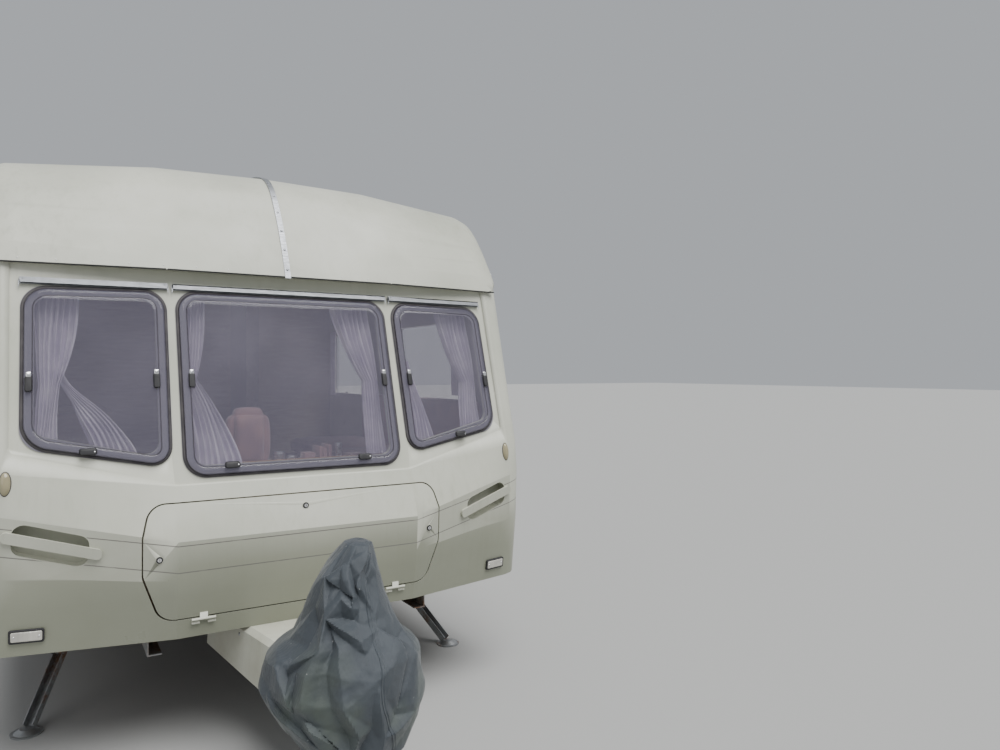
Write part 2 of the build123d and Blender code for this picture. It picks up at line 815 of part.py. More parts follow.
def jockey_wheel():
    x, y = jockey_x, nose_y + jockey_s + jockey_trail
    line = ((-26, 60), (-24, 84), (-16, jockey_wheel_r), (16, jockey_wheel_r), (24, 84), (26, 60),
            (8, 52), (8, 26), (26, 20), (26, 6.5), (-26, 6.5), (-26, 20), (-8, 26), (-8, 52))
    body = revolve(make_face(Polyline(*line, close=True)), axis=Axis.X)
    return Pos(x, y, jockey_wheel_r) * body


# Fairing over the A-frame: set-back and top; its lower edge rises toward the rear
FAIRING_ROWS = ((-470, skirt_z - 0.2), (100, skirt_z - 0.2), (235, skirt_z - 6), (430, skirt_z - 8))
fairing_half = 138
fairing_spread = 0.17
fairing_low = 248
fairing_rise = 0.056
fairing_t = 4


def fairing_form(inset):
    faces = []
    for i, (s, top) in enumerate(FAIRING_ROWS):
        along = s + (inset if i == 0 else 0)
        half = fairing_half + fairing_spread * (along - FAIRING_ROWS[0][0]) - inset
        low = fairing_low + fairing_rise * (along - FAIRING_ROWS[0][0]) - inset
        high = top - inset
        points = (
            (-half - 8, low), (-half, high - 18), (-half + 18, high),
            (half - 18, high), (half, high - 18), (half + 8, low),
        )
        faces.append(Plane.XZ.offset(-(nose_y + along)) * outline(points))
    return loft(faces, ruled=True)


def fairing():
    """Moulded cover over the A-frame, open underneath and behind."""
    inner = fairing_form(fairing_t)
    past = block(-300, 300, nose_y + 425, nose_y + 435, 200, 600)
    mouth = block(-60, 60, nose_y - 500, nose_y - 440, 200, 500)
    return fairing_form(0) - inner - mouth - past


def cover_form(inset, drop):
    faces = []
    for z, x, s, width, length in COVER_ROWS:
        if z == COVER_ROWS[0][0]:
            z -= drop
        if z == COVER_ROWS[-1][0]:
            z -= inset
        faces.append(Pos(x, nose_y + s, z) * Ellipse(width - inset, length - inset))
    return loft(faces, ruled=True)


def hitch_cover():
    """Cloth cover over the hitch, hung from the crank and the brake lever, longer at the front."""
    slit = block(-165, 165, nose_y - 620, nose_y - 350, cover_hem - 20, skirt_z + 3)
    behind = block(-400, 400, nose_y + cover_bib_s, nose_y - 300, COVER_ROWS[0][0] - 20, cover_hem)
    return cover_form(0, 0) - cover_form(cover_t, 5) - slit - behind


# Corner steadies, made about their top pin and turned to each corner

steady_drop = steady_pin_z - 12
steady_angle = degrees(atan2(steady_drop, steady_reach))
steady_leg_l = hypot(steady_drop, steady_reach)


def steady_base():
    """Inverted channel with pin slots, its screw and the bracket up to the floor."""
    length = steady_leg_l + 20
    base = block(-45, length, -37, 37, -22, 26) - block(-50, length + 5, -33, 33, -30, 22)
    slot0 = 2 * steady_arm * cos(radians(steady_angle)) - 12
    slot1 = 2 * steady_arm * cos(radians(fold_angle)) + 12
    base -= block(slot0, slot1, -40, 40, -5.5, 5.5)
    base += rod((0, -36, 0), (0, 36, 0), 6)
    base += block(-45, -20, -45, 45, 26, floor_top - floor_t - steady_pin_z)
    base += block(length - 60, length - 35, -45, 45, 26, floor_top - floor_t - steady_pin_z)
    screw = rod((-20, 0, 14), (length + 24, 0, 14), 6)
    screw += block(length - 4, length, -36, 36, 0, 26)
    return base + screw


def steady_leg():
    """Pressed channel leg with a dished foot, lying along X before it is let down."""
    end = steady_leg_l
    leg = block(-14, end - 20, -20, 20, -22, 12) - block(-20, end - 15, -17, 17, -19, 20)
    leg -= block(-20, 40, -30, 30, 8, 20)
    leg -= rod((0, -30, 0), (0, 30, 0), 6.4)
    leg -= rod((steady_arm, -30, 0), (steady_arm, 30, 0), 5.4)
    leg = Rot(0, steady_angle, 0) * leg
    foot = Pos(steady_reach, 0, -steady_pin_z + 3) * Cylinder(foot_r, 6)
    foot += Pos(steady_reach, 0, -steady_pin_z + 12) * Cone(foot_r - 10, 24, 14)
    return leg + foot


def steady_brace():
    """Pair of flat bars from the leg's middle up to the pin in the slots."""
    a = radians(steady_angle)
    low = Vector(steady_arm * cos(a), 0, -steady_arm * sin(a))
    high = Vector(2 * steady_arm * cos(a), 0, 0)
    brace = None
    for side in (-1, 1):
        middle = (low + high) / 2 + Vector(0, side * 24.5, 0)
        bar = Pos(middle) * Rot(0, -steady_angle, 0) * Box(steady_arm, 5, 22)
        bar += rod((low.X, side * 22, low.Z), (low.X, side * 27, low.Z), 11)
        bar += rod((high.X, side * 22, high.Z), (high.X, side * 27, high.Z), 11)
        brace = bar if brace is None else brace + bar
    brace += rod((low.X, -27, low.Z), (low.X, 27, low.Z), 5)
    brace += rod((high.X, -41, high.Z), (high.X, 41, high.Z), 5)
    return brace


STEADIES = (
    ("front_offside", -1, -1, steady_front_s), ("front_nearside", 1, -1, steady_front_s),
    ("rear_offside", -1, 1, steady_rear_s), ("rear_nearside", 1, 1, steady_rear_s),
)


def at_corner(shape, side, end, s):
    turn = degrees(atan2(end * cos(radians(steady_splay)), side * sin(radians(steady_splay))))
    return Pos(side * steady_x, nose_y + s, steady_pin_z) * Rot(0, 0, turn) * shape


# Interior that shows through the windows

room = body_form(wall + 0.3, 60)


def benches():
    pieces = []
    for bench in mirrored(block(470, inner_x - 1, nose_y + 420, nose_y + 2000, floor_top, 900)):
        pieces.append(bench)
    pieces.append(block(-420, 420, nose_y + 330, nose_y + 720, floor_top, 1010))
    return pieces


def cushions():
    pieces = []
    seat = block(475, inner_x - 110, nose_y + 430, nose_y + 1990, 900.3, 1020)
    back = block(inner_x - 108, inner_x - 6, nose_y + 430, nose_y + 1990, 900.3, 1290)
    for shape in (seat, back):
        pieces += mirrored(shape)
    return pieces


def overhead_lockers():
    locker = prism_y(((inner_x, 2330), (inner_x, 1900), (800, 1900), (740, 2330)),
                     nose_y + 900, nose_y + 2000)
    return mirrored(locker & room)


def kitchen():
    unit = block(-inner_x + 0.3, -520, nose_y + 2020, nose_y + 3200, 660, 1190)
    return unit - mirror(wheel_box(-1), about=Plane.YZ)


def wardrobe():
    body = block(520, inner_x - 0.3, nose_y + 2900, nose_y + 3300, floor_top, 2400)
    return (body & room) - wheel_box(-1)


def washroom_wall():
    wall_panel = block(-inner_x + 0.3, 420, nose_y + 3400, nose_y + 3425, floor_top, 2500)
    return wall_panel & room


def front_curtains():
    pieces = []
    for x0, x1 in ((-930, -850), (-410, -330), (330, 410), (850, 930)):
        line = ((x0, 1200), (x1, 1200), (x1, 1735), (x0, 1735))
        pieces.append(front_layer(line, wall - 5, wall + 14) & room)
    return pieces


def side_curtains():
    pieces = []
    x0, x1 = inner_x - 12, inner_x - 0.3
    for side, s0, s1, sill, head in SIDE_WINDOWS[:4]:
        for s in (s0 - 20, s1 - 80):
            strip = block(x0, x1, nose_y + s, nose_y + s + 100, sill + 150, head + 30)
            pieces.append(strip if side > 0 else mirror(strip, about=Plane.YZ))
    return pieces


# Outside fittings

def vents():
    """Louvred refrigerator vents and the flue cap, on the kitchen side."""
    pieces = []
    for z in (760, 1130):
        y = nose_y + 3080
        frame = block(-side_x - 12, -side_x, y - 200, y + 200, z - 90, z + 90)
        for i in range(5):
            zz = z - 64 + i * 32
            frame -= block(-side_x - 15, -side_x - 4, y - 178, y + 178, zz - 9, zz + 9)
        pieces.append(frame)
    return pieces


# Side, middle set-back, middle height, half width, half height
SERVICE_COVERS = (
    (-1, 1850, 640, 70, 70),
    (-1, 3560, 700, 85, 100),
    (1, 2120, 720, 100, 80),
)


def service_covers():
    """Small covers in the walls: water inlet, mains inlet and battery box."""
    pieces = []
    for side, s, z, half_w, half_h in SERVICE_COVERS:
        y0, y1 = nose_y + s - half_w, nose_y + s + half_w
        line = ((y0, z - half_h), (y1, z - half_h), (y1, z + half_h), (y0, z + half_h))
        cover = prism_x(line, side_x, side_x + 11, 14)
        pieces.append(cover if side > 0 else mirror(cover, about=Plane.YZ))
    return pieces


def aerial():
    x, y, z = -591, nose_y + 1500, roof_z - 40
    mast = rod((x, y, z - 30), (x, y, z + 20), 26)
    mast += rod((x, y, z + 20), (x, y, z + 66), 7)
    return mast - body_form()


def plate_backing():
    """Blank backing for a plate across the rear skirt."""
    plate = block(-270, 270, rear_y - 12, rear_y + 3, 700, 830)
    return plate - body_form()


NODES = {
    "chassis": chassis(),
    "drawbar": drawbar(),
    "axle": axle(),
    "wheel_offside": wheel(-1),
    "wheel_nearside": wheel(1),
    "tyre_offside": tyre(-1),
    "tyre_nearside": tyre(1),
    "wheel_boxes": wheel_boxes(),
    "overrun_housing": overrun_housing(),
    "gaiter": gaiter(),
    "coupling_head": coupling_head(),
    "hand_brake": hand_brake(),
    "jockey_tube": jockey_tube(),
    "jockey_stem": jockey_stem(),
    "jockey_fork": jockey_fork(),
    "jockey_wheel": jockey_wheel(),
    "drawbar_fairing": fairing(),
    "hitch_cover": hitch_cover(),
    "floor": floor(),
    "front_panel": front_panel(),
    "roof_moulding": roof_moulding(),
    "roof": roof_panel(),
    "rear_panel": rear_panel(),
    "side_wall_offside": side_wall(-1),
    "side_wall_nearside": side_wall(1),
    "rails": corner_rails() + window_rails() + [joint_strip()],
    "front_windows": front_windows(),
    "window_seals": window_seals(),
    "body_windows": side_windows() + [rear_window()],
    "locker_door": locker_door(),
    "grab_handles": grab_handles(),
    "marker_lamps": marker_lamps(),
    "front_lamps": front_lamps(),
    "rear_lamps": rear_lamps(),
    "hatch_frames": hatch_frames(),
    "hatch_lid_large": hatch_lid(0),
    "hatch_lid_small": hatch_lid(1),
    "door_lower": door_leaf(door_sill, door_split + 2),
    "door_upper": door_upper(),
    "door_window": door_window(),
    "hinge_knuckles": door_hinges() + locker_hinges(),
    "furniture": benches() + overhead_lockers() + [kitchen(), wardrobe(), washroom_wall()],
    "cushions": cushions(),
    "curtains": front_curtains() + side_curtains(),
    "wall_fittings": vents() + service_covers() + [plate_backing()],
    "aerial": aerial(),
}
for name, side, end, s in STEADIES:
    NODES["steady_leg_" + name] = at_corner(steady_leg(), side, end, s)
    NODES["steady_brace_" + name] = at_corner(steady_brace(), side, end, s)
NODES["steady_bases"] = [at_corner(steady_base(), side, end, s) for name, side, end, s in STEADIES]


def main():
    os.makedirs("parts", exist_ok=True)
    for node, shape in NODES.items():
        solids = shape if isinstance(shape, list) else [shape]
        flat = [solid for item in solids for solid in item.solids()]
        export_step(flat[0] if len(flat) == 1 else Compound(flat), "parts/" + node + ".step")


main()
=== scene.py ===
import json
import math
import random

import bmesh
import bpy
from mathutils import Matrix, Vector, noise
from mathutils.bvhtree import BVHTree
from mathutils.geometry import delaunay_2d_cdt

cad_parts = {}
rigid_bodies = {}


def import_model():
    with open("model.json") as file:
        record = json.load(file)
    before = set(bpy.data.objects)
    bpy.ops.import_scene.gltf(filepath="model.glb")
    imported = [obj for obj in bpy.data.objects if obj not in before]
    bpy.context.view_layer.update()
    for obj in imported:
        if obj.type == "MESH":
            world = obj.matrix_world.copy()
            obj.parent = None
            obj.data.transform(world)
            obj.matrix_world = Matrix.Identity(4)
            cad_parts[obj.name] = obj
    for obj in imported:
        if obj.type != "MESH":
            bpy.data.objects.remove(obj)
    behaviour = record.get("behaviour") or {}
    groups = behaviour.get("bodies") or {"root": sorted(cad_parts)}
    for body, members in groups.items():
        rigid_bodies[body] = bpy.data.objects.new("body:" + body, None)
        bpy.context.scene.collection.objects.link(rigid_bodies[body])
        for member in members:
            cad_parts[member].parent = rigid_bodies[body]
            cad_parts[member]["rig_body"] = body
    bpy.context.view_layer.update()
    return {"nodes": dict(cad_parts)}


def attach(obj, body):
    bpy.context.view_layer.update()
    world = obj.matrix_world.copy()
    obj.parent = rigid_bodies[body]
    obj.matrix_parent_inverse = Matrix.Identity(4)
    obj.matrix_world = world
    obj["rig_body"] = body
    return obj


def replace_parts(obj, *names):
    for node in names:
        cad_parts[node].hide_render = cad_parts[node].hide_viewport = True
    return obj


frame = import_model()
nodes = frame["nodes"]
random.seed(7)
root = nodes["front_panel"]["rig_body"]
print("caravan frame loaded,", len(nodes), "pieces")

# The raked front, as in the construction: set-back and height on the middle facet, then at the side
frontFace = {
    "nose": -1.9055,
    "bend": 0.470,
    "side": 1.100,
    "lines": [
        (0.050, 0.460, 0.188, 0.460), (0.008, 0.678, 0.154, 0.742), (0.000, 0.822, 0.146, 0.965),
        (0.074, 1.010, 0.158, 1.100), (0.331, 1.830, 0.373, 1.830),
    ],
}
noseY = frontFace["nose"]


def pastBend(x):
    # 0 on the middle facet of the front, and growing to 1 at the side
    return max(0.0, (abs(x) - frontFace["bend"]) / (frontFace["side"] - frontFace["bend"]))


def frontDepth(x, z):
    # how far back the front panel's face lies at a spot
    share = pastBend(x)
    line = [(sm + share * (ss - sm), zm + share * (zs - zm)) for sm, zm, ss, zs in frontFace["lines"]]
    for (s0, z0), (s1, z1) in zip(line, line[1:]):
        if z <= z1:
            break
    return noseY + s0 + (s1 - s0) * (z - z0) / (z1 - z0)


def newMaterial(name, colour, roughness, metallic=0.0):
    mat = bpy.data.materials.new(name)
    mat.use_nodes = True
    shader = mat.node_tree.nodes["Principled BSDF"]
    shader.inputs["Base Color"].default_value = (*colour, 1)
    shader.inputs["Roughness"].default_value = roughness
    shader.inputs["Metallic"].default_value = metallic
    return mat


class Painter:
    # short hands for wiring a material's nodes
    def __init__(self, mat):
        self.tree = mat.node_tree
        self.shader = self.tree.nodes["Principled BSDF"]
        coordinates = self.tree.nodes.new("ShaderNodeTexCoord")
        self.where = coordinates.outputs["Object"]
        facing = self.tree.nodes.new("ShaderNodeSeparateXYZ")
        self.tree.links.new(coordinates.outputs["Normal"], facing.inputs[0])
        self.facing = facing.outputs[2]
        split = self.tree.nodes.new("ShaderNodeSeparateXYZ")
        self.tree.links.new(self.where, split.inputs[0])
        self.x, self.z = split.outputs[0], split.outputs[2]

    def put(self, socket, value):
        if isinstance(value, bpy.types.NodeSocket):
            self.tree.links.new(value, socket)
        elif hasattr(value, "__len__") and len(value) == 3 and socket.type == "RGBA":
            socket.default_value = (*value, 1)
        else:
            socket.default_value = value

    def math(self, kind, a, b=0.0, clamp=False):
        node = self.tree.nodes.new("ShaderNodeMath")
        node.operation = kind
        node.use_clamp = clamp
        self.put(node.inputs[0], a)
        self.put(node.inputs[1], b)
        return node.outputs[0]

    def times(self, a, b, clamp=False):
        return self.math("MULTIPLY", a, b, clamp)

    def ripple(self, along, count):
        return self.math("SINE", self.times(along, count))

    def noise(self, scale, detail=4.0, stretch=(1, 1, 1), rough=0.5, shift=0.0):
        move = self.tree.nodes.new("ShaderNodeMapping")
        move.inputs["Scale"].default_value = stretch
        move.inputs["Location"].default_value = (shift, shift, shift)
        self.tree.links.new(self.where, move.inputs["Vector"])
        node = self.tree.nodes.new("ShaderNodeTexNoise")
        node.inputs["Scale"].default_value = scale
        node.inputs["Detail"].default_value = detail
        node.inputs["Roughness"].default_value = rough
        self.tree.links.new(move.outputs[0], node.inputs["Vector"])
        return node.outputs["Fac"]

    def cells(self, scale):
        node = self.tree.nodes.new("ShaderNodeTexVoronoi")
        node.inputs["Scale"].default_value = scale
        self.tree.links.new(self.where, node.inputs["Vector"])
        return node.outputs["Distance"]

    def range(self, value, low, high, toLow=0.0, toHigh=1.0):
        node = self.tree.nodes.new("ShaderNodeMapRange")
        self.put(node.inputs["Value"], value)
        node.inputs["From Min"].default_value = low
        node.inputs["From Max"].default_value = high
        node.inputs["To Min"].default_value = toLow
        node.inputs["To Max"].default_value = toHigh
        return node.outputs[0]

    def mix(self, share, a, b):
        node = self.tree.nodes.new("ShaderNodeMix")
        node.data_type = "RGBA"
        self.put(node.inputs[0], share)
        self.put(node.inputs[6], a)
        self.put(node.inputs[7], b)
        return node.outputs[2]

    def colour(self, value):
        self.put(self.shader.inputs["Base Color"], value)

    def rough(self, value):
        self.put(self.shader.inputs["Roughness"], value)

    def bump(self, height, strength=0.2, depth=0.001):
        node = self.tree.nodes.new("ShaderNodeBump")
        node.inputs["Strength"].default_value = strength
        node.inputs["Distance"].default_value = depth
        self.put(node.inputs["Height"], height)
        self.tree.links.new(node.outputs[0], self.shader.inputs["Normal"])


paint = {
    "cream": (0.600, 0.600, 0.515),
    "creamDull": (0.475, 0.485, 0.400),
    "algae": (0.30, 0.32, 0.22),
    "dust": (0.34, 0.31, 0.23),
    # painted shade: the dark olive that faces turned downward are mixed toward
    "hazeAndShade": (0.215, 0.225, 0.165),
    "speck": (0.16, 0.15, 0.11),
    "stripe": (0.16, 0.15, 0.14),
    "stripeWidth": 0.0022,
    # height at the middle of the front, and rise for each metre past the bend
    "stripes": ((0.709, 0.190), (0.806, 0.185)),
    # what a side wall counts as, being one flat stretch past the bend
    "sideSpread": 0.62,
}


def creamSkin(name, stripes, streaks, grain=0.0):
    # weathered off-white finish: faint clouds, rain streaks, dust low down that doubles as painted shade,
    # painted shade on downward faces, and thin coach lines
    mat = newMaterial(name, paint["cream"], 0.34)
    p = Painter(mat)
    clouds = p.range(p.noise(1.7, 5, shift=3.0), 0.35, 0.7)
    base = p.mix(clouds, paint["cream"], paint["creamDull"])
    runs = p.noise(2.2, 6, stretch=(14, 14, 0.55), rough=0.62)
    runs = p.times(p.range(runs, 0.50, 0.82), p.range(p.noise(1.1, 2), 0.35, 0.75))
    base = p.mix(p.times(runs, streaks, True), base, paint["algae"])
    # dust low down, drawn stronger near the ground so that it also stands in for shade there (painted shade)
    low = p.range(p.z, 0.98, 0.46)
    dustAndLowShade = p.times(low, p.range(p.noise(5.0, 6, rough=0.65), 0.38, 0.72))
    base = p.mix(p.times(dustAndLowShade, 0.42, True), base, paint["dust"])
    # painted shade: faces turned downward are darkened toward a shade colour, more so lower down
    paintedUnderShade = p.times(p.range(p.facing, 0.0, -0.10), p.range(p.z, 0.95, 0.62, 0.55, 1.0))
    base = p.mix(p.times(paintedUnderShade, 0.84, True), base, paint["hazeAndShade"])
    specks = p.math("LESS_THAN", p.cells(46), 0.055)
    specks = p.times(specks, p.range(p.noise(3.5, 3, shift=9.0), 0.55, 0.66))
    base = p.mix(p.times(specks, 0.5, True), base, paint["speck"])
    if stripes:
        beyond = p.math("SUBTRACT", p.math("ABSOLUTE", p.x), frontFace["bend"])
        spread = paint["sideSpread"] if stripes == "side" else p.math("MAXIMUM", beyond, 0.0)
        for height, slope in paint["stripes"]:
            line = p.math("ADD", p.times(spread, slope), height)
            off = p.math("ABSOLUTE", p.math("SUBTRACT", p.z, line))
            on = p.range(off, paint["stripeWidth"], paint["stripeWidth"] * 0.7)
            worn = p.range(p.noise(22, 4), 0.30, 0.42, 0.62, 0.92)
            base = p.mix(p.times(on, worn), base, paint["stripe"])
    p.colour(base)
    p.rough(p.range(p.noise(4.0, 6, shift=2.0), 0.3, 0.75, 0.27, 0.52))
    wave = p.math("ADD", p.times(p.noise(2.6, 2), 6.0), p.noise(160 if grain else 60, 2))
    p.bump(wave, 0.10 + grain, 0.0012)
    return mat


frontPaint = creamSkin("frontPaint", "front", 0.5)
sidePaint = creamSkin("sidePaint", "side", 0.55, 0.10)
roofPaint = creamSkin("roofPaint", "", 0.6)
mouldingPaint = creamSkin("mouldingPaint", "", 0.75)


def metalSkin(name, colour, roughness, dull, rust=0.0, scratch=90):
    mat = newMaterial(name, colour, roughness, 0.9)
    p = Painter(mat)
    cloud = p.range(p.noise(16, 6, rough=0.65), 0.3, 0.72)
    base = p.mix(cloud, colour, dull)
    if rust:
        spots = p.range(p.noise(9, 8, rough=0.7, shift=5.0), 0.62 - rust * 0.2, 0.72 - rust * 0.1)
        base = p.mix(spots, base, p.mix(p.noise(60, 4), (0.10, 0.045, 0.02), (0.27, 0.12, 0.045)))
        p.put(p.shader.inputs["Metallic"], p.range(spots, 0.0, 1.0, 0.85, 0.05))
    p.colour(base)
    p.rough(p.range(p.noise(scratch, 3, stretch=(0.15, 1, 1)), 0.3, 0.7, roughness - 0.1, roughness + 0.16))
    p.bump(p.noise(scratch * 2, 3), 0.12, 0.0006)
    return mat


galvanised = metalSkin("galvanised", (0.44, 0.45, 0.46), 0.48, (0.30, 0.31, 0.31), 0.55)
zincFrame = metalSkin("zincFrame", (0.36, 0.37, 0.37), 0.55, (0.22, 0.22, 0.22), 0.8)
brightAluminium = metalSkin("brightAluminium", (0.80, 0.81, 0.83), 0.28, (0.62, 0.63, 0.65), 0.0, 200)
wheelSilver = metalSkin("wheelSilver", (0.58, 0.59, 0.60), 0.38, (0.40, 0.39, 0.37), 0.25)
blackIron = metalSkin("blackIron", (0.05, 0.05, 0.052), 0.5, (0.09, 0.085, 0.08), 0.7)
dullAluminium = metalSkin("dullAluminium", (0.38, 0.39, 0.41), 0.42, (0.27, 0.28, 0.29), 0.0, 200)
chromeTrim = metalSkin("chromeTrim", (0.82, 0.82, 0.83), 0.14, (0.7, 0.7, 0.7))


def rubberSkin(name, colour, dust=0.4):
    mat = newMaterial(name, colour, 0.62)
    p = Painter(mat)
    grey = p.range(p.noise(12, 6, rough=0.6), 0.4, 0.75)
    p.colour(p.mix(p.times(grey, dust), colour, (0.17, 0.155, 0.15)))
    p.rough(p.range(p.noise(30, 4), 0.3, 0.7, 0.5, 0.78))
    p.bump(p.noise(240, 3), 0.15, 0.0006)
    return mat


sealRubber = rubberSkin("sealRubber", (0.040, 0.036, 0.040))
seatRubber = rubberSkin("seatRubber", (0.190, 0.180, 0.210), 0.2)
tyreRubber = rubberSkin("tyreRubber", (0.022, 0.022, 0.022), 0.5)
blackPlastic = rubberSkin("blackPlastic", (0.018, 0.018, 0.02), 0.15)


def tintedSkin(name, colour, alpha, haze):
    # smoke-tinted acrylic with a faint bloom; each of its two faces holds back the given share of light
    mat = newMaterial(name, colour, 0.06)
    p = Painter(mat)
    hazeAndShade = p.range(p.noise(2.4, 5, rough=0.55), 0.35, 0.75)
    p.colour(p.mix(p.times(hazeAndShade, haze), colour, (0.30, 0.27, 0.33)))
    p.rough(p.range(hazeAndShade, 0.2, 0.9, 0.05, 0.13))
    p.put(p.shader.inputs["Alpha"], p.range(hazeAndShade, 0.0, 1.0, alpha, min(1.0, alpha + 0.06)))
    return mat


smokedAcrylic = tintedSkin("smokedAcrylic", (0.185, 0.175, 0.235), 0.24, 0.22)
smokedEdge = tintedSkin("smokedEdge", (0.045, 0.038, 0.052), 0.70, 0.15)
innerAcrylic = tintedSkin("innerAcrylic", (0.24, 0.22, 0.27), 0.05, 0.2)


def clothSkin(name, colour, shade, scale, roughness, sheen, alpha=None):
    mat = newMaterial(name, colour, roughness)
    p = Painter(mat)
    p.shader.inputs["Sheen Weight"].default_value = sheen
    weave = p.times(p.ripple(p.x, scale), p.ripple(p.z, scale))
    p.colour(p.mix(p.range(p.noise(14, 5), 0.3, 0.75), colour, shade))
    p.bump(weave, 0.25, 0.0008)
    if alpha is not None:
        p.put(p.shader.inputs["Alpha"], p.range(weave, -1, 1, *alpha))
    return mat


laceNet = clothSkin("laceNet", (0.92, 0.86, 0.95), (0.66, 0.57, 0.74), 1500, 0.9, 0.3, (0.80, 1.0))
rosePlush = clothSkin("rosePlush", (0.52, 0.30, 0.28), (0.36, 0.22, 0.24), 900, 0.95, 0.5)


def woodSkin(name, light, dark):
    roughness = 0.4
    mat = newMaterial(name, light, roughness)
    p = Painter(mat)
    grain = p.noise(9.0, 8, stretch=(1, 1, 9), rough=0.6)
    p.colour(p.mix(p.range(grain, 0.35, 0.68), light, dark))
    p.rough(p.range(grain, 0.3, 0.7, roughness - 0.05, roughness + 0.12))
    p.bump(grain, 0.15, 0.0006)
    return mat


paleBoard = woodSkin("paleBoard", (0.62, 0.55, 0.44), (0.50, 0.42, 0.32))
floorBoard = woodSkin("floorBoard", (0.20, 0.13, 0.08), (0.11, 0.07, 0.04))
honeyWood = woodSkin("honeyWood", (0.50, 0.28, 0.12), (0.32, 0.16, 0.06))


def lensSkin(name, colour, rib):
    mat = newMaterial(name, colour, 0.16)
    p = Painter(mat)
    p.shader.inputs["Coat Weight"].default_value = 0.8
    p.colour(p.mix(p.range(p.noise(20, 5), 0.35, 0.8), colour, tuple(c * 0.72 for c in colour)))
    p.bump(p.ripple(p.x, rib), 0.35, 0.0012)
    return mat


whiteLens = lensSkin("whiteLens", (0.60, 0.58, 0.52), 420)
creamLens = lensSkin("creamLens", (0.34, 0.30, 0.18), 300)
redLens = lensSkin("redLens", (0.42, 0.015, 0.012), 500)
amberLens = lensSkin("amberLens", (0.62, 0.19, 0.02), 500)


def plasticSkin(name, colour, roughness):
    mat = newMaterial(name, colour, roughness)
    p = Painter(mat)
    p.colour(p.mix(p.range(p.noise(8, 6), 0.35, 0.75), colour, tuple(c * 0.82 for c in colour)))
    p.rough(p.range(p.noise(30, 4), 0.3, 0.7, roughness - 0.08, roughness + 0.12))
    p.bump(p.noise(180, 3), 0.1, 0.0005)
    return mat


whitePlastic = plasticSkin("whitePlastic", (0.72, 0.71, 0.66), 0.45)
hatchPlastic = plasticSkin("hatchPlastic", (0.66, 0.65, 0.60), 0.35)


def vinylSkin(name):
    # coated grey cloth: a fine weave under the coat, chipped in spots, green and dusty low down
    mat = newMaterial(name, (0.075, 0.081, 0.090), 0.5)
    p = Painter(mat)
    base = p.mix(p.range(p.noise(5, 6, rough=0.6), 0.3, 0.75), (0.026, 0.034, 0.042), (0.052, 0.064, 0.076))
    moss = p.times(p.range(p.noise(4.5, 6, shift=4.0), 0.50, 0.74), p.range(p.z, 0.74, 0.42))
    base = p.mix(p.times(moss, 0.75, True), base, (0.105, 0.130, 0.088))
    chips = p.math("LESS_THAN", p.cells(21), 0.035)
    base = p.mix(p.times(chips, 0.5), base, (0.62, 0.62, 0.60))
    p.colour(base)
    p.rough(p.range(p.noise(18, 5), 0.3, 0.75, 0.36, 0.60))
    threads = 2600
    weave = p.math("ADD", p.ripple(p.z, threads), p.ripple(p.x, threads))
    creasing = p.times(p.noise(30, 5, rough=0.6), 1.6)
    p.bump(p.math("ADD", p.times(weave, 0.12), creasing), 0.5, 0.003)
    p.shader.inputs["Sheen Weight"].default_value = 0.15
    return mat


coverVinyl = vinylSkin("coverVinyl")
print("materials mixed:", len(bpy.data.materials))


def addObject(name, data):
    added = bpy.data.objects.new(name, data)
    bpy.context.scene.collection.objects.link(added)
    return added


def meshOf(name, bm):
    mesh = bpy.data.meshes.new(name)
    bm.to_mesh(mesh)
    bm.free()
    return mesh


def finishPiece(name, bm, mat, body=None, smooth=40):
    # turns a bmesh into a piece that rides on a body, with soft shading below the given angle
    mesh = meshOf(name, bm)
    piece = addObject(name, mesh)
    for one in mat if isinstance(mat, list) else [mat]:
        mesh.materials.append(one)
    mesh.shade_smooth()
    mesh.set_sharp_from_angle(angle=math.radians(smooth))
    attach(piece, body or root)
    return piece


def cadCopy(node, mat, smooth):
    # the CAD node's own shape, with its loose triangles merged so that it can shade softly
    bm = bmesh.new()
    bm.from_mesh(nodes[node].data)
    bmesh.ops.remove_doubles(bm, verts=bm.verts, dist=1e-5)
    bmesh.ops.dissolve_limit(bm, angle_limit=math.radians(0.7), verts=bm.verts, edges=bm.edges)
    for layer in list(bm.loops.layers.uv):
        bm.loops.layers.uv.remove(layer)
    piece = finishPiece(node + "_skin", bm, mat, nodes[node]["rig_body"], smooth)
    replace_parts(piece, node)


def addBox(bm, low, high, soft=0.0):
    low, high = Vector(low), Vector(high)
    place = Matrix.Translation((high + low) / 2) @ Matrix.Diagonal((*(high - low), 1))
    verts = bmesh.ops.create_cube(bm, size=1.0, matrix=place)["verts"]
    if soft:
        edges = list({e for v in verts for e in v.link_edges})
        bmesh.ops.bevel(bm, geom=edges, offset=soft, offset_type="OFFSET", segments=2, profile=0.5,
                        affect="EDGES", clamp_overlap=True, material=-1)


def addRod(bm, start, end, radius, endRadius, segments):
    a, b = Vector(start), Vector(end)
    turn = (b - a).to_track_quat("Z", "Y").to_matrix().to_4x4()
    bmesh.ops.create_cone(bm, cap_ends=True, segments=segments, radius1=radius, radius2=endRadius,
                          depth=(b - a).length, matrix=Matrix.Translation((a + b) / 2) @ turn)


def addDome(bm, centre, out, radius, height, segments):
    # a flattened half ball, such as a rivet or screw head
    turn = Vector(out).to_track_quat("Z", "Y").to_matrix().to_4x4()
    verts = bmesh.ops.create_uvsphere(bm, u_segments=segments, v_segments=8, radius=1.0)["verts"]
    for v in verts:
        v.co = Vector((v.co.x * radius, v.co.y * radius, max(v.co.z, -0.02) * height))
    bmesh.ops.transform(bm, matrix=Matrix.Translation(Vector(centre)) @ turn, verts=verts)


def joinTo(bm, part):
    # adds a finished bmesh to another and frees it
    carrier = meshOf("carrier", part)
    bm.from_mesh(carrier)
    bpy.data.meshes.remove(carrier)


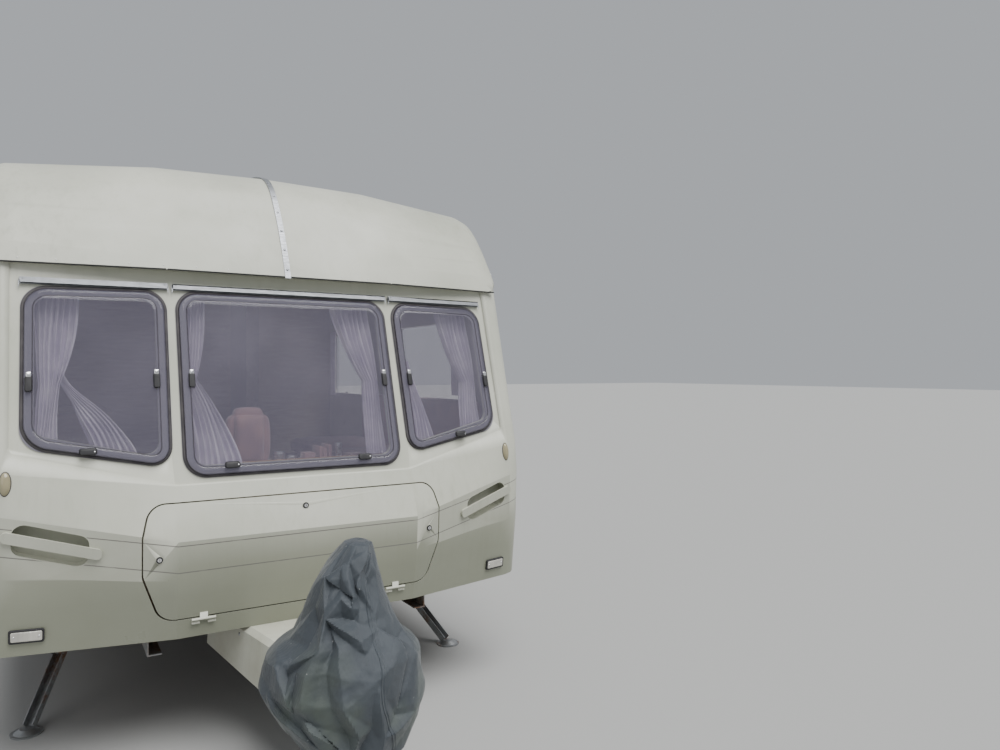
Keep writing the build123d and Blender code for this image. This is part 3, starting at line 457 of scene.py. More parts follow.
def addPlate(bm, outline, radius, rings, place, segments, indices=None, wall=0.0, hollow=False):
    # a rounded plate from its rim inward: the outline's corners are (across, up), the rings (step in, depth)
    plate = bmesh.new()
    radius = max(radius, 1.1 * sum(step for step, _ in rings))
    plate.faces.new([plate.verts.new((u, 0, w)) for u, w in outline])
    bmesh.ops.bevel(plate, geom=list(plate.verts), offset=radius, offset_type="OFFSET", segments=segments,
                    profile=0.5, affect="VERTICES", clamp_overlap=True, material=-1)
    face = max(plate.faces, key=lambda f: f.calc_area())
    depths = {v: rings[0][1] for v in plate.verts}
    for i, (step, depth) in enumerate(rings[1:]):
        made = bmesh.ops.inset_region(plate, faces=[face], thickness=max(step, 1e-4), depth=0,
                                      use_even_offset=True, use_boundary=True)
        for f in made["faces"]:
            f.material_index = indices[i] if indices else 0
        for v in face.verts:
            depths[v] = depth
        for v in plate.verts:
            depths.setdefault(v, rings[i][1])
    for v, depth in depths.items():
        v.co = place(v.co.x, v.co.z, depth)
    if hollow:
        bmesh.ops.delete(plate, geom=[face], context="FACES_ONLY")
    border = [e for e in plate.edges if e.is_boundary]
    if wall:
        bmesh.ops.solidify(plate, geom=list(plate.faces), thickness=wall)
    elif hollow:
        bmesh.ops.bridge_loops(plate, edges=border)
    else:
        bmesh.ops.holes_fill(plate, edges=border, sides=0)
    bmesh.ops.remove_doubles(plate, verts=plate.verts, dist=1e-6)
    bmesh.ops.recalc_face_normals(plate, faces=plate.faces)
    joinTo(bm, plate)


def platePiece(name, mat, body, smooth, *plate, **shape):
    # a piece made of one plate: what follows the shading angle goes to addPlate
    bm = bmesh.new()
    addPlate(bm, *plate, **shape)
    return finishPiece(name, bm, mat, body, smooth)


def between(a, b, low, high):
    return [(a, low), (b, low), (b, high), (a, high)]


def rectangle(x, z, width, height):
    return between(x - width / 2, x + width / 2, z - height / 2, z + height / 2)


def grow(outline, by):
    mx = sum(u for u, _ in outline) / len(outline)
    mz = sum(w for _, w in outline) / len(outline)
    return [(u + by * math.copysign(1, u - mx), w + by * math.copysign(1, w - mz)) for u, w in outline]


def onFront(x, z, depth):
    return Vector((x, frontDepth(x, z) + depth, z))


def onSide(side):
    # gives the function for places on a side wall: along, up and in from its face
    def place(y, z, depth):
        return Vector((side * (frontFace["side"] - depth), y, z))
    return place


def wallNode(side):
    return "side_wall_nearside" if side > 0 else "side_wall_offside"


skins = (
    ("front_panel", frontPaint), ("side_wall_offside", sidePaint), ("side_wall_nearside", sidePaint),
    ("roof", roofPaint), ("rear_panel", sidePaint), ("roof_moulding", mouldingPaint),
    ("drawbar_fairing", mouldingPaint), ("locker_door", frontPaint), ("door_lower", sidePaint),
    ("door_upper", sidePaint), ("grab_handles", mouldingPaint), ("hatch_frames", whitePlastic),
    ("hatch_lid_large", hatchPlastic), ("hatch_lid_small", hatchPlastic),
)
for node, mat in skins:
    cadCopy(node, mat, 24)
print("panels skinned")

bareNodes = (
    ("chassis", zincFrame), ("drawbar", zincFrame), ("axle", blackIron), ("steady_bases", galvanised),
    ("jockey_tube", galvanised), ("jockey_stem", galvanised), ("jockey_fork", galvanised),
    ("overrun_housing", blackIron), ("coupling_head", blackIron), ("hand_brake", blackIron),
    ("gaiter", blackPlastic), ("window_seals", seatRubber), ("jockey_wheel", tyreRubber),
    ("wheel_offside", wheelSilver), ("wheel_nearside", wheelSilver), ("floor", floorBoard),
    ("wheel_boxes", blackPlastic), ("rails", dullAluminium), ("hinge_knuckles", mouldingPaint),
    ("wall_fittings", whitePlastic), ("aerial", blackPlastic), ("furniture", paleBoard),
    ("marker_lamps", creamLens), ("front_lamps", whiteLens), ("rear_lamps", redLens),
    ("tyre_offside", tyreRubber), ("tyre_nearside", tyreRubber), ("body_windows", smokedAcrylic),
    ("door_window", smokedAcrylic), ("front_windows", smokedAcrylic), ("cushions", rosePlush),
    ("curtains", laceNet), ("hitch_cover", coverVinyl),
)
for node, mat in bareNodes:
    nodes[node].material_slots[0].material = mat
for node in nodes:
    if node.startswith(("steady_leg", "steady_brace")):
        nodes[node].material_slots[0].material = galvanised
print("frame and fittings finished")


trees = {}


def touch(node, start, toward):
    # where a straight line first meets a CAD node, and the way its surface faces there
    if node not in trees:
        bm = bmesh.new()
        bm.from_mesh(nodes[node].data)
        trees[node] = BVHTree.FromBMesh(bm)
        bm.free()
    spot, out, _, _ = trees[node].ray_cast(Vector(start), Vector(toward).normalized())
    if spot is None:
        raise ValueError("nothing of " + node + " lies that way from " + str(start))
    return spot, out


def onPlane(spot, out):
    # gives the function for places on a flat patch: across, up and in from a spot that faces out
    out = Vector(out).normalized()
    across = Vector((0, 0, 1)).cross(out).normalized()
    rise = out.cross(across)

    def place(u, w, depth):
        return Vector(spot) + across * u + rise * w - out * depth
    return place


frontWindow = {
    "outlines": {
        "centre": [(-0.430, 1.045), (0.430, 1.045), (0.430, 1.744), (-0.430, 1.744)],
        "nearside": [(0.482, 1.085), (0.945, 1.175), (0.942, 1.737), (0.478, 1.743)],
        "offside": [(-0.945, 1.175), (-0.482, 1.085), (-0.478, 1.743), (-0.942, 1.737)],
    },
    "radius": 0.075,
    "skin": [(0, 0.0035), (0.0005, -0.004), (0.0025, -0.0095), (0.006, -0.0125), (0.018, -0.0130),
             (0.002, -0.0118), (0.002, -0.0130), (0.012, -0.0130)],
    "inner": [(0, 0.017), (0.006, 0.012), (0.008, 0.010), (0.010, 0.016), (0.012, 0.016)],
    "gasket": [(0, 0.0078), (0.002, 0.0015), (0.005, -0.0015), (0.005, 0.0005), (0.004, 0.0060)],
    # across, up, and 1 where the catch stands upright
    "catches": [
        (-0.395, 1.400, 1), (0.395, 1.400, 1), (-0.266, 1.079, 0), (0.266, 1.079, 0), (0.518, 1.400, 1),
        (0.926, 1.390, 1), (0.747, 1.150, 0), (-0.518, 1.400, 1), (-0.926, 1.390, 1), (-0.747, 1.150, 0),
    ],
    "catchSize": (0.024, 0.056),
    "catch": [(0, -0.010), (0.0005, -0.0165), (0.003, -0.0205), (0.004, -0.021)],
    "catchTip": [(0, -0.012), (0.0005, -0.020), (0.002, -0.0215)],
}
edgeRings = [1, 1, 0, 0, 1, 1, 0]

for name, outline in frontWindow["outlines"].items():
    radius = frontWindow["radius"]
    pane = platePiece("frontPane_" + name, [smokedAcrylic, smokedEdge], root, 50,
                      outline, radius, frontWindow["skin"], onFront, 10, edgeRings, wall=0.004)
    if name == "centre":
        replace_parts(pane, "front_windows")
    platePiece("innerPane_" + name, innerAcrylic, root, 50,
               grow(outline, -0.022), radius - 0.014, frontWindow["inner"], onFront, 10, wall=0.002)
    platePiece("frontGasket_" + name, sealRubber, root, 60,
               grow(outline, 0.010), radius + 0.010, frontWindow["gasket"], onFront, 10, hollow=True)

bm, tips = bmesh.new(), bmesh.new()
for x, z, upright in frontWindow["catches"]:
    w, h = frontWindow["catchSize"] if upright else reversed(frontWindow["catchSize"])
    addPlate(bm, rectangle(x, z, w, h), 0.005, frontWindow["catch"], onFront, 4)
    if upright:
        tip = rectangle(x, z + h / 2 + 0.005, 0.016, 0.018)
    else:
        tip = rectangle(x + w / 2 - 0.008, z, 0.008, 0.008)
    addPlate(tips, tip, 0.003, frontWindow["catchTip"], onFront, 4)
finishPiece("windowCatches", bm, blackPlastic)
finishPiece("catchTips", tips, chromeTrim)
print("front windows glazed")


# Two aluminium strips over each front window, the upper one standing a little further out, and a web between
hingeRail = {
    "spans": ((-0.448, 0.448), (0.464, 0.956), (-0.956, -0.464)),
    "strips": ((1.7672, 1.7735, -0.0110), (1.7505, 1.7560, -0.0050)), "web": (1.7560, 1.7672, -0.0010),
    "root": 0.0079, "round": 0.0015, "screw": (1.770, -0.0110), "screwInset": 0.012,
}
bm, webs = bmesh.new(), bmesh.new()
foot = (0, hingeRail["root"])
for x0, x1 in hingeRail["spans"]:
    z0, z1, rim = hingeRail["web"]
    rings = [foot, (0.0002, rim), (0.001, rim)]
    addPlate(webs, between(x0, x1, z0, z1), hingeRail["round"], rings, onFront, 3)
    for z0, z1, rim in hingeRail["strips"]:
        rings = [foot, (0.0002, rim + 0.003), (0.0018, rim), (0.0008, rim)]
        addPlate(bm, between(x0, x1, z0, z1), hingeRail["round"], rings, onFront, 3)
    for x in (x0 + hingeRail["screwInset"], x1 - hingeRail["screwInset"]):
        addDome(bm, onFront(x, *hingeRail["screw"]), (0, -1, -0.3), 0.0032, 0.0018, 10)
finishPiece("hingeRails", bm, dullAluminium)
finishPiece("hingeRailWebs", webs, sealRubber)


# Rivets up the roof's joint strip, and small screws along the moulding's lower edge
ahead, inward = noseY - 0.5, (0, 1, 0)
rivetHeights = (1.862, 1.952, 2.040, 2.130, 2.215, 2.290)
mouldingScrew = {"apart": 0.12, "height": 1.846}
bm = bmesh.new()
for z in rivetHeights:
    spot, out = touch("rails", (0, ahead, z), inward)
    addDome(bm, spot, out, 0.0055, 0.0030, 12)
finishPiece("jointRivets", bm, dullAluminium, smooth=60)
bm = bmesh.new()
for i in range(-8, 9):
    spot, out = touch("roof_moulding", (i * mouldingScrew["apart"], ahead, mouldingScrew["height"]), inward)
    addDome(bm, spot, out, 0.0038, 0.0014, 10)
finishPiece("mouldingScrews", bm, whitePlastic, smooth=60)
print("rails and rivets set")


# Three locks on the locker door: across and up, then the radii of rim and barrel
lockerLocks = {"spots": ((-0.531, 0.763), (0.531, 0.763), (0.0, 0.907)), "rim": 0.0128, "barrel": 0.0068}
slot = Vector((0.0008, 0.0005, 0.004))
bm, barrel = bmesh.new(), bmesh.new()
for x, z in lockerLocks["spots"]:
    spot, out = touch("locker_door", (x, ahead, z), inward)
    addRod(bm, spot - out * 0.002, spot + out * 0.0032, lockerLocks["rim"], lockerLocks["rim"] * 0.84, 28)
    addRod(barrel, spot - out * 0.001, spot + out * 0.0042, lockerLocks["barrel"], lockerLocks["barrel"], 20)
    mouth = spot + out * 0.0044 - Vector((0, 0.0001, 0))
    addBox(bm, mouth - slot, mouth + slot)
lockerBody = nodes["locker_door"]["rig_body"]
finishPiece("lockRims", bm, blackPlastic, lockerBody)
finishPiece("lockBarrels", barrel, chromeTrim, lockerBody)


frontLamp = {
    "middle": (0.933, 0.530), "size": (0.106, 0.048), "inset": 0.0065, "screwInset": 0.016,
    "bezel": [(0, 0.0), (0.0003, -0.0085), (0.0018, -0.0105), (0.0042, -0.0105), (0.0005, -0.0070)],
    "lens": [(0, -0.004), (0.0002, -0.0105), (0.0016, -0.0122), (0.002, -0.0126), (0.001, -0.0126)],
}
bezels, lenses, screws = bmesh.new(), bmesh.new(), bmesh.new()
for side in (-1, 1):
    x, z = side * frontLamp["middle"][0], frontLamp["middle"][1]
    w, h = frontLamp["size"]
    outer = rectangle(x, z, w, h)
    addPlate(bezels, outer, 0.005, frontLamp["bezel"], onFront, 4)
    addPlate(lenses, grow(outer, -frontLamp["inset"]), 0.003, frontLamp["lens"], onFront, 4)
    for u in (-1, 1):
        screw = onFront(x + u * (w / 2 - frontLamp["screwInset"]), z, -0.0126)
        addDome(screws, screw, (0, -1, -0.05), 0.0034, 0.0018, 12)
finishPiece("frontLampBezels", bezels, blackPlastic)
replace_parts(finishPiece("frontLampLenses", lenses, whiteLens), "front_lamps")
finishPiece("frontLampScrews", screws, chromeTrim, smooth=60)

# Oval marker lamps: across and up on the front, then back from the nose and up on the sides
markerLamp = {
    "front": (0.993, 1.053), "sideways": ((1.500, 0.620), (3.200, 0.620)), "startX": 2,
    # half width, half height, and how far each stands proud
    "frontSeat": (0.0195, 0.0425, 0.004), "frontLens": (0.017, 0.040, 0.013),
    "sideSeat": (0.037, 0.020, 0.004), "sideLens": (0.034, 0.017, 0.012),
}
lens, seat = bmesh.new(), bmesh.new()


def addOval(bm, centre, out, width, height, proud):
    # a low oval dome on a surface
    made = bmesh.ops.create_uvsphere(bm, u_segments=24, v_segments=12, radius=1.0)
    place = onPlane(centre, out)
    for v in made["verts"]:
        v.co = place(v.co.x * width, v.co.y * height, -max(v.co.z, -0.15) * proud)


for side in (-1, 1):
    x, z = markerLamp["front"]
    spot, out = touch("front_panel", (side * x, ahead, z), inward)
    addOval(seat, spot, out, *markerLamp["frontSeat"])
    addOval(lens, spot, out, *markerLamp["frontLens"])
    for s, z in markerLamp["sideways"]:
        spot, out = touch(wallNode(side), (side * markerLamp["startX"], noseY + s, z), (-side, 0, 0))
        addOval(seat, spot, out, *markerLamp["sideSeat"])
        addOval(lens, spot, out, *markerLamp["sideLens"])
for part in (lens, seat):
    bmesh.ops.recalc_face_normals(part, faces=part.faces)
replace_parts(finishPiece("markerLenses", lens, creamLens, smooth=60), "marker_lamps")
finishPiece("markerSeats", seat, sealRubber, smooth=60)
print("lamps fitted")


curtain = {
    # name, left and right edge at the head, at the tie and at the hem, and the heights of those three
    "drops": (
        ("offsideHung", (-0.917, -0.760), (-0.893, -0.828), (-0.915, -0.838), (1.722, 1.385, 1.150)),
        ("offsideSwag", (-0.842, -0.812), (-0.800, -0.745), (-0.735, -0.585), (1.425, 1.330, 1.128)),
        ("centreOffside", (-0.412, -0.315), (-0.412, -0.368), (-0.400, -0.215), (1.722, 1.405, 1.070)),
        ("centreNearside", (0.205, 0.385), (0.325, 0.390), (0.300, 0.392), (1.722, 1.390, 1.080)),
        ("nearsideHung", (0.730, 0.905), (0.828, 0.905), (0.790, 0.900), (1.722, 1.385, 1.165)),
        ("nearsideSwag", (0.505, 0.560), (0.520, 0.585), (0.500, 0.640), (1.480, 1.330, 1.125)),
    ),
    "behind": 0.066, "folds": 7, "foldDepth": 0.015,
}


def hangCurtain(name, head, tie, hem, heights):
    # a gathered drop of net, drawn in by its tie and loose again below it
    folds = curtain["folds"]
    top, waist, foot = heights
    at = (top - waist) / (top - foot)
    bm = bmesh.new()
    made = bmesh.ops.create_grid(bm, x_segments=84, y_segments=64, size=0.5)
    for v in made["verts"]:
        u, t = v.co.x + 0.5, 0.5 - v.co.y
        z = top + (foot - top) * t
        k = (t / at) ** 1.6 if t < at else 1 - (1 - (t - at) / (1 - at)) ** 1.5
        a, b = (head, tie) if t < at else (tie, hem)
        left, right = (p + (q - p) * k for p, q in zip(a, b))
        swing = 0.35 * math.sin(3.1 * t + head[0] * 9) + 0.2 * math.sin(9 * u + 4 * t)
        turns = 2 * math.pi * folds * u
        wave = math.sin(turns + swing) + 0.25 * math.sin(turns * 2.3 + 5 * t + tie[0] * 4)
        x = left + (right - left) * u + 0.004 * math.sin(8 * t + 5 * u)
        deep = curtain["foldDepth"] * min(1, 0.35 + 5 * (right - left))
        v.co = Vector((x, frontDepth(x, z) + curtain["behind"] + deep * wave, z))
    return finishPiece("curtain_" + name, bm, laceNet, smooth=180)


for name, head, tie, hem, heights in curtain["drops"]:
    cloth = hangCurtain(name, head, tie, hem, heights)
    if name == "centreOffside":
        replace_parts(cloth, "curtains")

sideCurtain = {
    # side, first and last place along, hem, head
    "drops": (
        (1, 0.665, 0.800, 1.300, 1.735), (1, 1.480, 1.615, 1.300, 1.735), (1, 2.045, 2.165, 1.245, 1.735),
        (1, 2.715, 2.835, 1.245, 1.735), (-1, 0.665, 0.800, 1.300, 1.735), (-1, 1.480, 1.615, 1.300, 1.735),
        (-1, 2.105, 2.225, 1.300, 1.735), (-1, 2.775, 2.895, 1.300, 1.735),
    ),
    "depth": 0.045, "fold": 0.008,
}
for i, (side, a, b, low, high) in enumerate(sideCurtain["drops"]):
    bm = bmesh.new()
    place = onSide(side)
    made = bmesh.ops.create_grid(bm, x_segments=64, y_segments=24, size=0.5)
    for v in made["verts"]:
        u, t = v.co.x + 0.5, 0.5 - v.co.y
        wave = math.sin(2 * math.pi * 5 * u + 0.4 * math.sin(3 * t + i)) + 0.2 * math.sin(31 * u + 4 * t)
        flare = 1 + 0.06 * math.sin(2.2 * t + i)
        along = (a + b) / 2 + (b - a) * (u - 0.5) * flare
        deep = sideCurtain["depth"] + sideCurtain["fold"] * wave
        v.co = place(noseY + along, high + (low - high) * t, deep)
    cloth = finishPiece("curtain_side" + str(i + 1), bm, laceNet, smooth=180)
    wall = wallNode(side)
print("curtains hung")


# The loose grey cover over the hitch, as it was sewn: height, middle across and set back, half width,
# half length, then how far its outline reaches left and right as the photograph sees it
hitchCover = {
    "rows": (
        (0.255, -0.103, -0.765, 0.098, 0.098, -0.062, 0.104),
        (0.300, -0.076, -0.760, 0.140, 0.140, -0.104, 0.152),
        (0.330, -0.075, -0.742, 0.160, 0.160, -0.137, 0.186),
        (0.400, -0.071, -0.701, 0.206, 0.206, -0.196, 0.224),
        (0.455, -0.084, -0.680, 0.228, 0.228, -0.234, 0.236),
        (0.500, -0.093, -0.669, 0.237, 0.237, -0.254, 0.235),
        (0.585, -0.101, -0.663, 0.216, 0.218, -0.228, 0.222),
        (0.612, -0.103, -0.662, 0.198, 0.204, -0.202, 0.204),
        (0.640, -0.104, -0.662, 0.184, 0.190, -0.158, 0.172),
        (0.700, -0.095, -0.667, 0.134, 0.146, -0.128, 0.138),
        (0.760, -0.088, -0.669, 0.105, 0.119, -0.104, 0.116),
        (0.820, -0.083, -0.669, 0.088, 0.100, -0.077, 0.099),
        (0.862, -0.067, -0.666, 0.068, 0.081, -0.042, 0.089),
        (0.903, -0.047, -0.662, 0.046, 0.060, -0.004, 0.081),
    ),
    # the middle in plan, and the way the photograph looks from
    "axis": (-0.090, -0.663),
    "look": (-0.341, -0.940),
    # heights of the hems, and set-back where the low one ends and where the fairing lifts the back, with runs
    "hem": 0.402, "bibHem": 0.256, "bibEnd": (-0.790, 0.045), "hemMiddle": 0.44,
    "backHem": 0.482, "backStart": (-0.530, 0.035), "backHalf": (0.200, 0.03),
    # angles are laid out flat as 0.2 for each radian, between these shares of pi
    "flatScale": 0.2, "flatSpan": (-0.15, 0.25),
    # ridges (+) and hollows (-): where each runs, as (across -1..1 over the outline, height), and depth
    "creases": (
        ((0.62, 0.895), (-0.25, 0.868), 0.007), ((-0.25, 0.868), (-0.85, 0.815), 0.006),
        ((0.62, 0.895), (0.28, 0.835), 0.007), ((0.28, 0.835), (0.20, 0.795), 0.005),
        ((-0.42, 0.850), (0.10, 0.775), 0.006), ((-0.78, 0.825), (-0.30, 0.790), -0.008),
        ((-0.30, 0.790), (0.08, 0.772), -0.006), ((0.50, 0.845), (0.62, 0.795), -0.008),
        ((0.14, 0.812), (0.28, 0.770), -0.006), ((0.28, 0.770), (0.28, 0.735), -0.006),
        ((0.20, 0.815), (0.34, 0.790), 0.004), ((-0.20, 0.770), (0.05, 0.745), 0.005),
        ((-0.46, 0.720), (-0.05, 0.690), 0.010), ((-0.05, 0.690), (0.20, 0.665), 0.010),
        ((0.10, 0.690), (0.20, 0.668), 0.007), ((-0.16, 0.715), (0.16, 0.706), -0.011),
        ((-0.40, 0.695), (0.02, 0.655), -0.006), ((0.24, 0.700), (0.60, 0.680), -0.005),
        ((-0.62, 0.815), (-0.52, 0.740), 0.009), ((-0.52, 0.740), (-0.46, 0.640), 0.010),
        ((-0.46, 0.640), (-0.45, 0.520), 0.010), ((-0.45, 0.520), (-0.42, 0.440), 0.008),
        ((-0.30, 0.660), (-0.32, 0.500), -0.009), ((-0.16, 0.650), (-0.04, 0.580), 0.006),
        ((-0.04, 0.580), (0.02, 0.500), 0.011), ((0.02, 0.500), (0.12, 0.420), 0.013),
        ((0.12, 0.420), (-0.02, 0.350), 0.012), ((-0.20, 0.560), (-0.02, 0.420), -0.010),
        ((-0.50, 0.470), (0.00, 0.345), -0.008), ((-0.98, 0.625), (-0.70, 0.600), 0.010),
        ((-0.66, 0.690), (-0.72, 0.570), -0.010), ((-0.86, 0.600), (-0.62, 0.520), 0.009),
        ((-0.90, 0.520), (-0.60, 0.430), -0.008), ((-0.62, 0.590), (-0.58, 0.470), -0.008),
        ((-0.80, 0.470), (-0.40, 0.380), 0.007), ((0.62, 0.680), (0.90, 0.630), -0.009),
        ((0.90, 0.630), (0.64, 0.440), -0.014), ((0.98, 0.650), (0.84, 0.636), 0.008),
        ((0.90, 0.600), (0.98, 0.470), 0.010), ((0.40, 0.560), (0.44, 0.360), 0.006),
        ((0.30, 0.430), (0.70, 0.330), -0.006), ((0.10, 0.370), (0.30, 0.290), -0.008),
        ((0.60, 0.400), (0.86, 0.430), 0.005), ((-0.10, 0.880), (0.30, 0.900), -0.004),
    ),
    "seam": ((0.72, 0.880), (0.66, 0.840), (0.52, 0.800), (0.50, 0.745), (0.49, 0.690), (0.47, 0.610),
             (0.46, 0.540), (0.48, 0.470), (0.55, 0.400), (0.72, 0.330), (0.80, 0.268)),
    "wall": 0.0013, "seamWidth": 0.014, "crumple": 0.0030, "deepen": 1.55, "cap": 0.06,
}


def coverRow(z):
    rows = hitchCover["rows"]
    z = min(max(z, rows[0][0]), rows[-1][0])
    for low, high in zip(rows, rows[1:]):
        if z <= high[0]:
            break
    share = (z - low[0]) / (high[0] - low[0])
    return [a + (b - a) * share for a, b in zip(low[1:], high[1:])]


def toSegment(p, a, b):
    # how far a flat spot lies from a run
    run, off = (b[0] - a[0], b[1] - a[1]), (p[0] - a[0], p[1] - a[1])
    size = run[0] ** 2 + run[1] ** 2
    t = min(1.0, max(0.0, (run[0] * off[0] + run[1] * off[1]) / size))
    return math.hypot(off[0] - run[0] * t, off[1] - run[1] * t)


lookX, lookY = hitchCover["look"]


def facetField():
    # flat facets between the creases of the photograph, and between loose spots where none is seen
    folds = []
    for a, b, deep in hitchCover["creases"]:
        run = [(hitchCover["flatScale"] * math.asin(u * 0.999), z) for u, z in (a, b)]
        folds.append(run + [deep * hitchCover["deepen"]])
    spots, heights, edges = [], [], []
    for a, b, deep in folds:
        edges.append((len(spots), len(spots) + 1))
        spots += [a, b]
        heights += [deep, deep]
    first, last = (share * math.pi for share in hitchCover["flatSpan"])
    for z in (0.10, 0.26, 0.40, 0.53, 0.66, 0.78, 0.88, 1.02):
        seam = random.uniform(-0.007, 0.007)
        spots += [(first - 0.001, z), (last + 0.001, z)]
        heights += [seam, seam]
    # the loose spots stand in a shaken grid, and keep clear of the creases
    columns, rows, foot, rowHeight, clear = 17, 9, 0.22, 0.085, 0.030
    for i in range(columns):
        for j in range(rows):
            x = first + (i + 0.5 + random.uniform(-0.38, 0.38)) * (last - first) / columns
            z = foot + (j + random.uniform(0.1, 0.9) + 0.5 * (i % 2)) * rowHeight
            height = random.choice((-1, 1)) * random.uniform(0.003, 0.010)
            if min(toSegment((x, z), a, b) for a, b, deep in folds) < clear:
                continue
            spots.append((x, z))
            heights.append(height * (0.35 if abs(x) < 0.26 else 1.0))
    made = delaunay_2d_cdt([Vector(s) for s in spots], edges, [], 0, 1e-5)
    corners = []
    for v, origins in zip(made[0], made[3]):
        if origins:
            height = sum(heights[i] for i in origins) / len(origins)
        else:
            height = min((toSegment(v, a, b), deep) for a, b, deep in folds)[1]
        corners.append((v.x, v.y, height))
    return BVHTree.FromPolygons(corners, made[2])


facets = facetField()


def coverSpot(angle, z, lift=0.0):
    # a place on the cover: the angle turns from the photograph's side toward the right
    x, s, wide, long, left, right = coverRow(z)
    dx = math.cos(angle) * lookX + math.sin(angle) * -lookY
    dy = math.cos(angle) * lookY + math.sin(angle) * lookX
    flat = hitchCover["flatScale"] * (angle if angle <= math.pi * 1.25 else angle - 2 * math.pi)
    hit = facets.ray_cast(Vector((flat, z, 1.0)), Vector((0, 0, -1)))[0]
    swell = hit.z if hit else 0.0
    fade = min(1.0, (0.925 - z) / 0.06)
    px, py = x + dx * wide, s + dy * long
    bend = 0.35 * noise.noise((px * 6, py * 6, z * 6))
    near = noise.voronoi((px * 13 + bend, py * 13 - bend, z * 8 + bend))[0]
    fine = noise.voronoi((px * 34 + bend, py * 34 + bend, z * 24))[0]
    crumple = hitchCover["crumple"]
    grain = crumple * max(0, 1 - (near[1] - near[0]) / 0.50)
    grain += 0.35 * crumple * max(0, 1 - (fine[1] - fine[0]) / 0.35)
    cx, cy = hitchCover["axis"]
    across = (px - cx) * -lookY + (py - cy) * lookX
    middle = (x - cx) * -lookY + (s - cy) * lookX
    reach = math.hypot(wide * lookY, long * lookX)
    wanted = left + (right - left) * ((across - middle) / reach + 1) / 2
    px += -lookY * (wanted - across)
    py += lookX * (wanted - across)
    out = (swell + grain) * fade * (0.55 + 0.45 * abs(math.cos(angle))) - 0.35 * crumple + lift
    return Vector((px + dx * out, noseY + py + dy * out, z))


def eased(past, run):
    return min(1, max(0, past / run))


def hemHeight(angle):
    # the front hangs low, the sides end over the frame, and the back is lifted by the fairing
    spot = coverSpot(angle, hitchCover["hemMiddle"])
    s = spot.y - noseY
    (bibEnd, bibRun), (backStart, backRun) = hitchCover["bibEnd"], hitchCover["backStart"]
    half, halfRun = hitchCover["backHalf"]
    low = hitchCover["bibHem"] + (hitchCover["hem"] - hitchCover["bibHem"]) * eased(s - bibEnd, bibRun)
    overFairing = eased(s - backStart, backRun) * eased(half - abs(spot.x), halfRun)
    return low + (hitchCover["backHem"] - low) * overFairing


bm = bmesh.new()
made = bmesh.ops.create_grid(bm, x_segments=300, y_segments=184, size=0.5)
crown, cap = hitchCover["rows"][-1][0], hitchCover["cap"]
apex = coverSpot(0, crown) * 0.5 + coverSpot(math.pi, crown) * 0.5 + Vector((0.004, 0, 0.005))
for v in made["verts"]:
    angle, t = (v.co.x + 0.5) * 2 * math.pi - math.pi * 0.75, 0.5 - v.co.y
    if t < cap:
        rim = coverSpot(angle, crown)
        v.co = apex.lerp(rim, t / cap) + Vector((0, 0, 0.004 * math.sin(math.pi * t / cap)))
    else:
        hem = hemHeight(angle)
        v.co = coverSpot(angle, crown + (hem - crown) * (t - cap) / (1 - cap))
bmesh.ops.remove_doubles(bm, verts=bm.verts, dist=1e-5)
bmesh.ops.recalc_face_normals(bm, faces=bm.faces)
coverArea = sum(f.calc_area() for f in bm.faces)
cover = finishPiece("hitchCoverCloth", bm, coverVinyl, smooth=22)
wall = cover.modifiers.new("wall", "SOLIDIFY")
wall.thickness = hitchCover["wall"]
wall.offset = 0


def alongSeam(t):
    spots = hitchCover["seam"]
    at = t * (len(spots) - 1)
    i = min(int(at), len(spots) - 2)
    u, z = (a + (b - a) * (at - i) for a, b in zip(spots[i], spots[i + 1]))
    return math.asin(u), z


bm = bmesh.new()
made = bmesh.ops.create_grid(bm, x_segments=6, y_segments=150, size=0.5)
for v in made["verts"]:
    angle, z = alongSeam(0.5 - v.co.y)
    width = hitchCover["seamWidth"] / max(0.06, math.hypot(*coverRow(z)[2:4]) / 1.41)
    crest = 0.0034 if abs(v.co.x) > 0.3 else 0.0012
    crest = crest if abs(v.co.x) < 0.45 else 0.0004
    v.co = coverSpot(angle + v.co.x * width, z, crest)
bmesh.ops.recalc_face_normals(bm, faces=bm.faces)
seam = finishPiece("hitchCoverSeam", bm, coverVinyl, smooth=60)
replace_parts(cover, "hitch_cover")
print("hitch cover draped, area", round(coverArea, 3))


# Tyres with a moulded tread, turned round their own axle
tyreShape = {
    "middle": (0.975, 0.6945, 0.300), "steps": 168, "dip": 0.0060, "shoulder": 0.03,
    # out from the middle plane, and radius; the last column says how much a cross cut lowers that place
    "profile": (
        (0.0535, 0.170, 0), (0.0560, 0.183, 0), (0.0640, 0.196, 0), (0.0735, 0.212, 0), (0.0745, 0.2135, 0),
        (0.0755, 0.2130, 0), (0.0810, 0.232, 0), (0.0818, 0.244, 0), (0.0800, 0.258, 0), (0.0760, 0.272, 0),
        (0.0700, 0.284, 0.4), (0.0640, 0.2915, 1), (0.0560, 0.2960, 1), (0.0430, 0.2985, 1),
        (0.0425, 0.2915, 0), (0.0375, 0.2915, 0), (0.0370, 0.2992, 0.5), (0.0190, 0.2997, 0.5),
        (0.0185, 0.2925, 0), (0.0125, 0.2925, 0), (0.0120, 0.2999, 0.2), (0.0000, 0.3000, 0.2),
    ),
}
# Four nuts, the valve, and a grease cap with a rolled edge: its line is out from the middle plane, and radius
hub = {
    "nuts": 4, "nutCircle": 0.0600, "nutFoot": 0.040, "valve": (0.030, -0.1400),
    "cap": (
        (0.0475, 0.0365), (0.0490, 0.0368), (0.0500, 0.0340), (0.0505, 0.0300), (0.0570, 0.0285),
        (0.0598, 0.0240), (0.0608, 0.0120), (0.0610, 0.0),
    ),
}


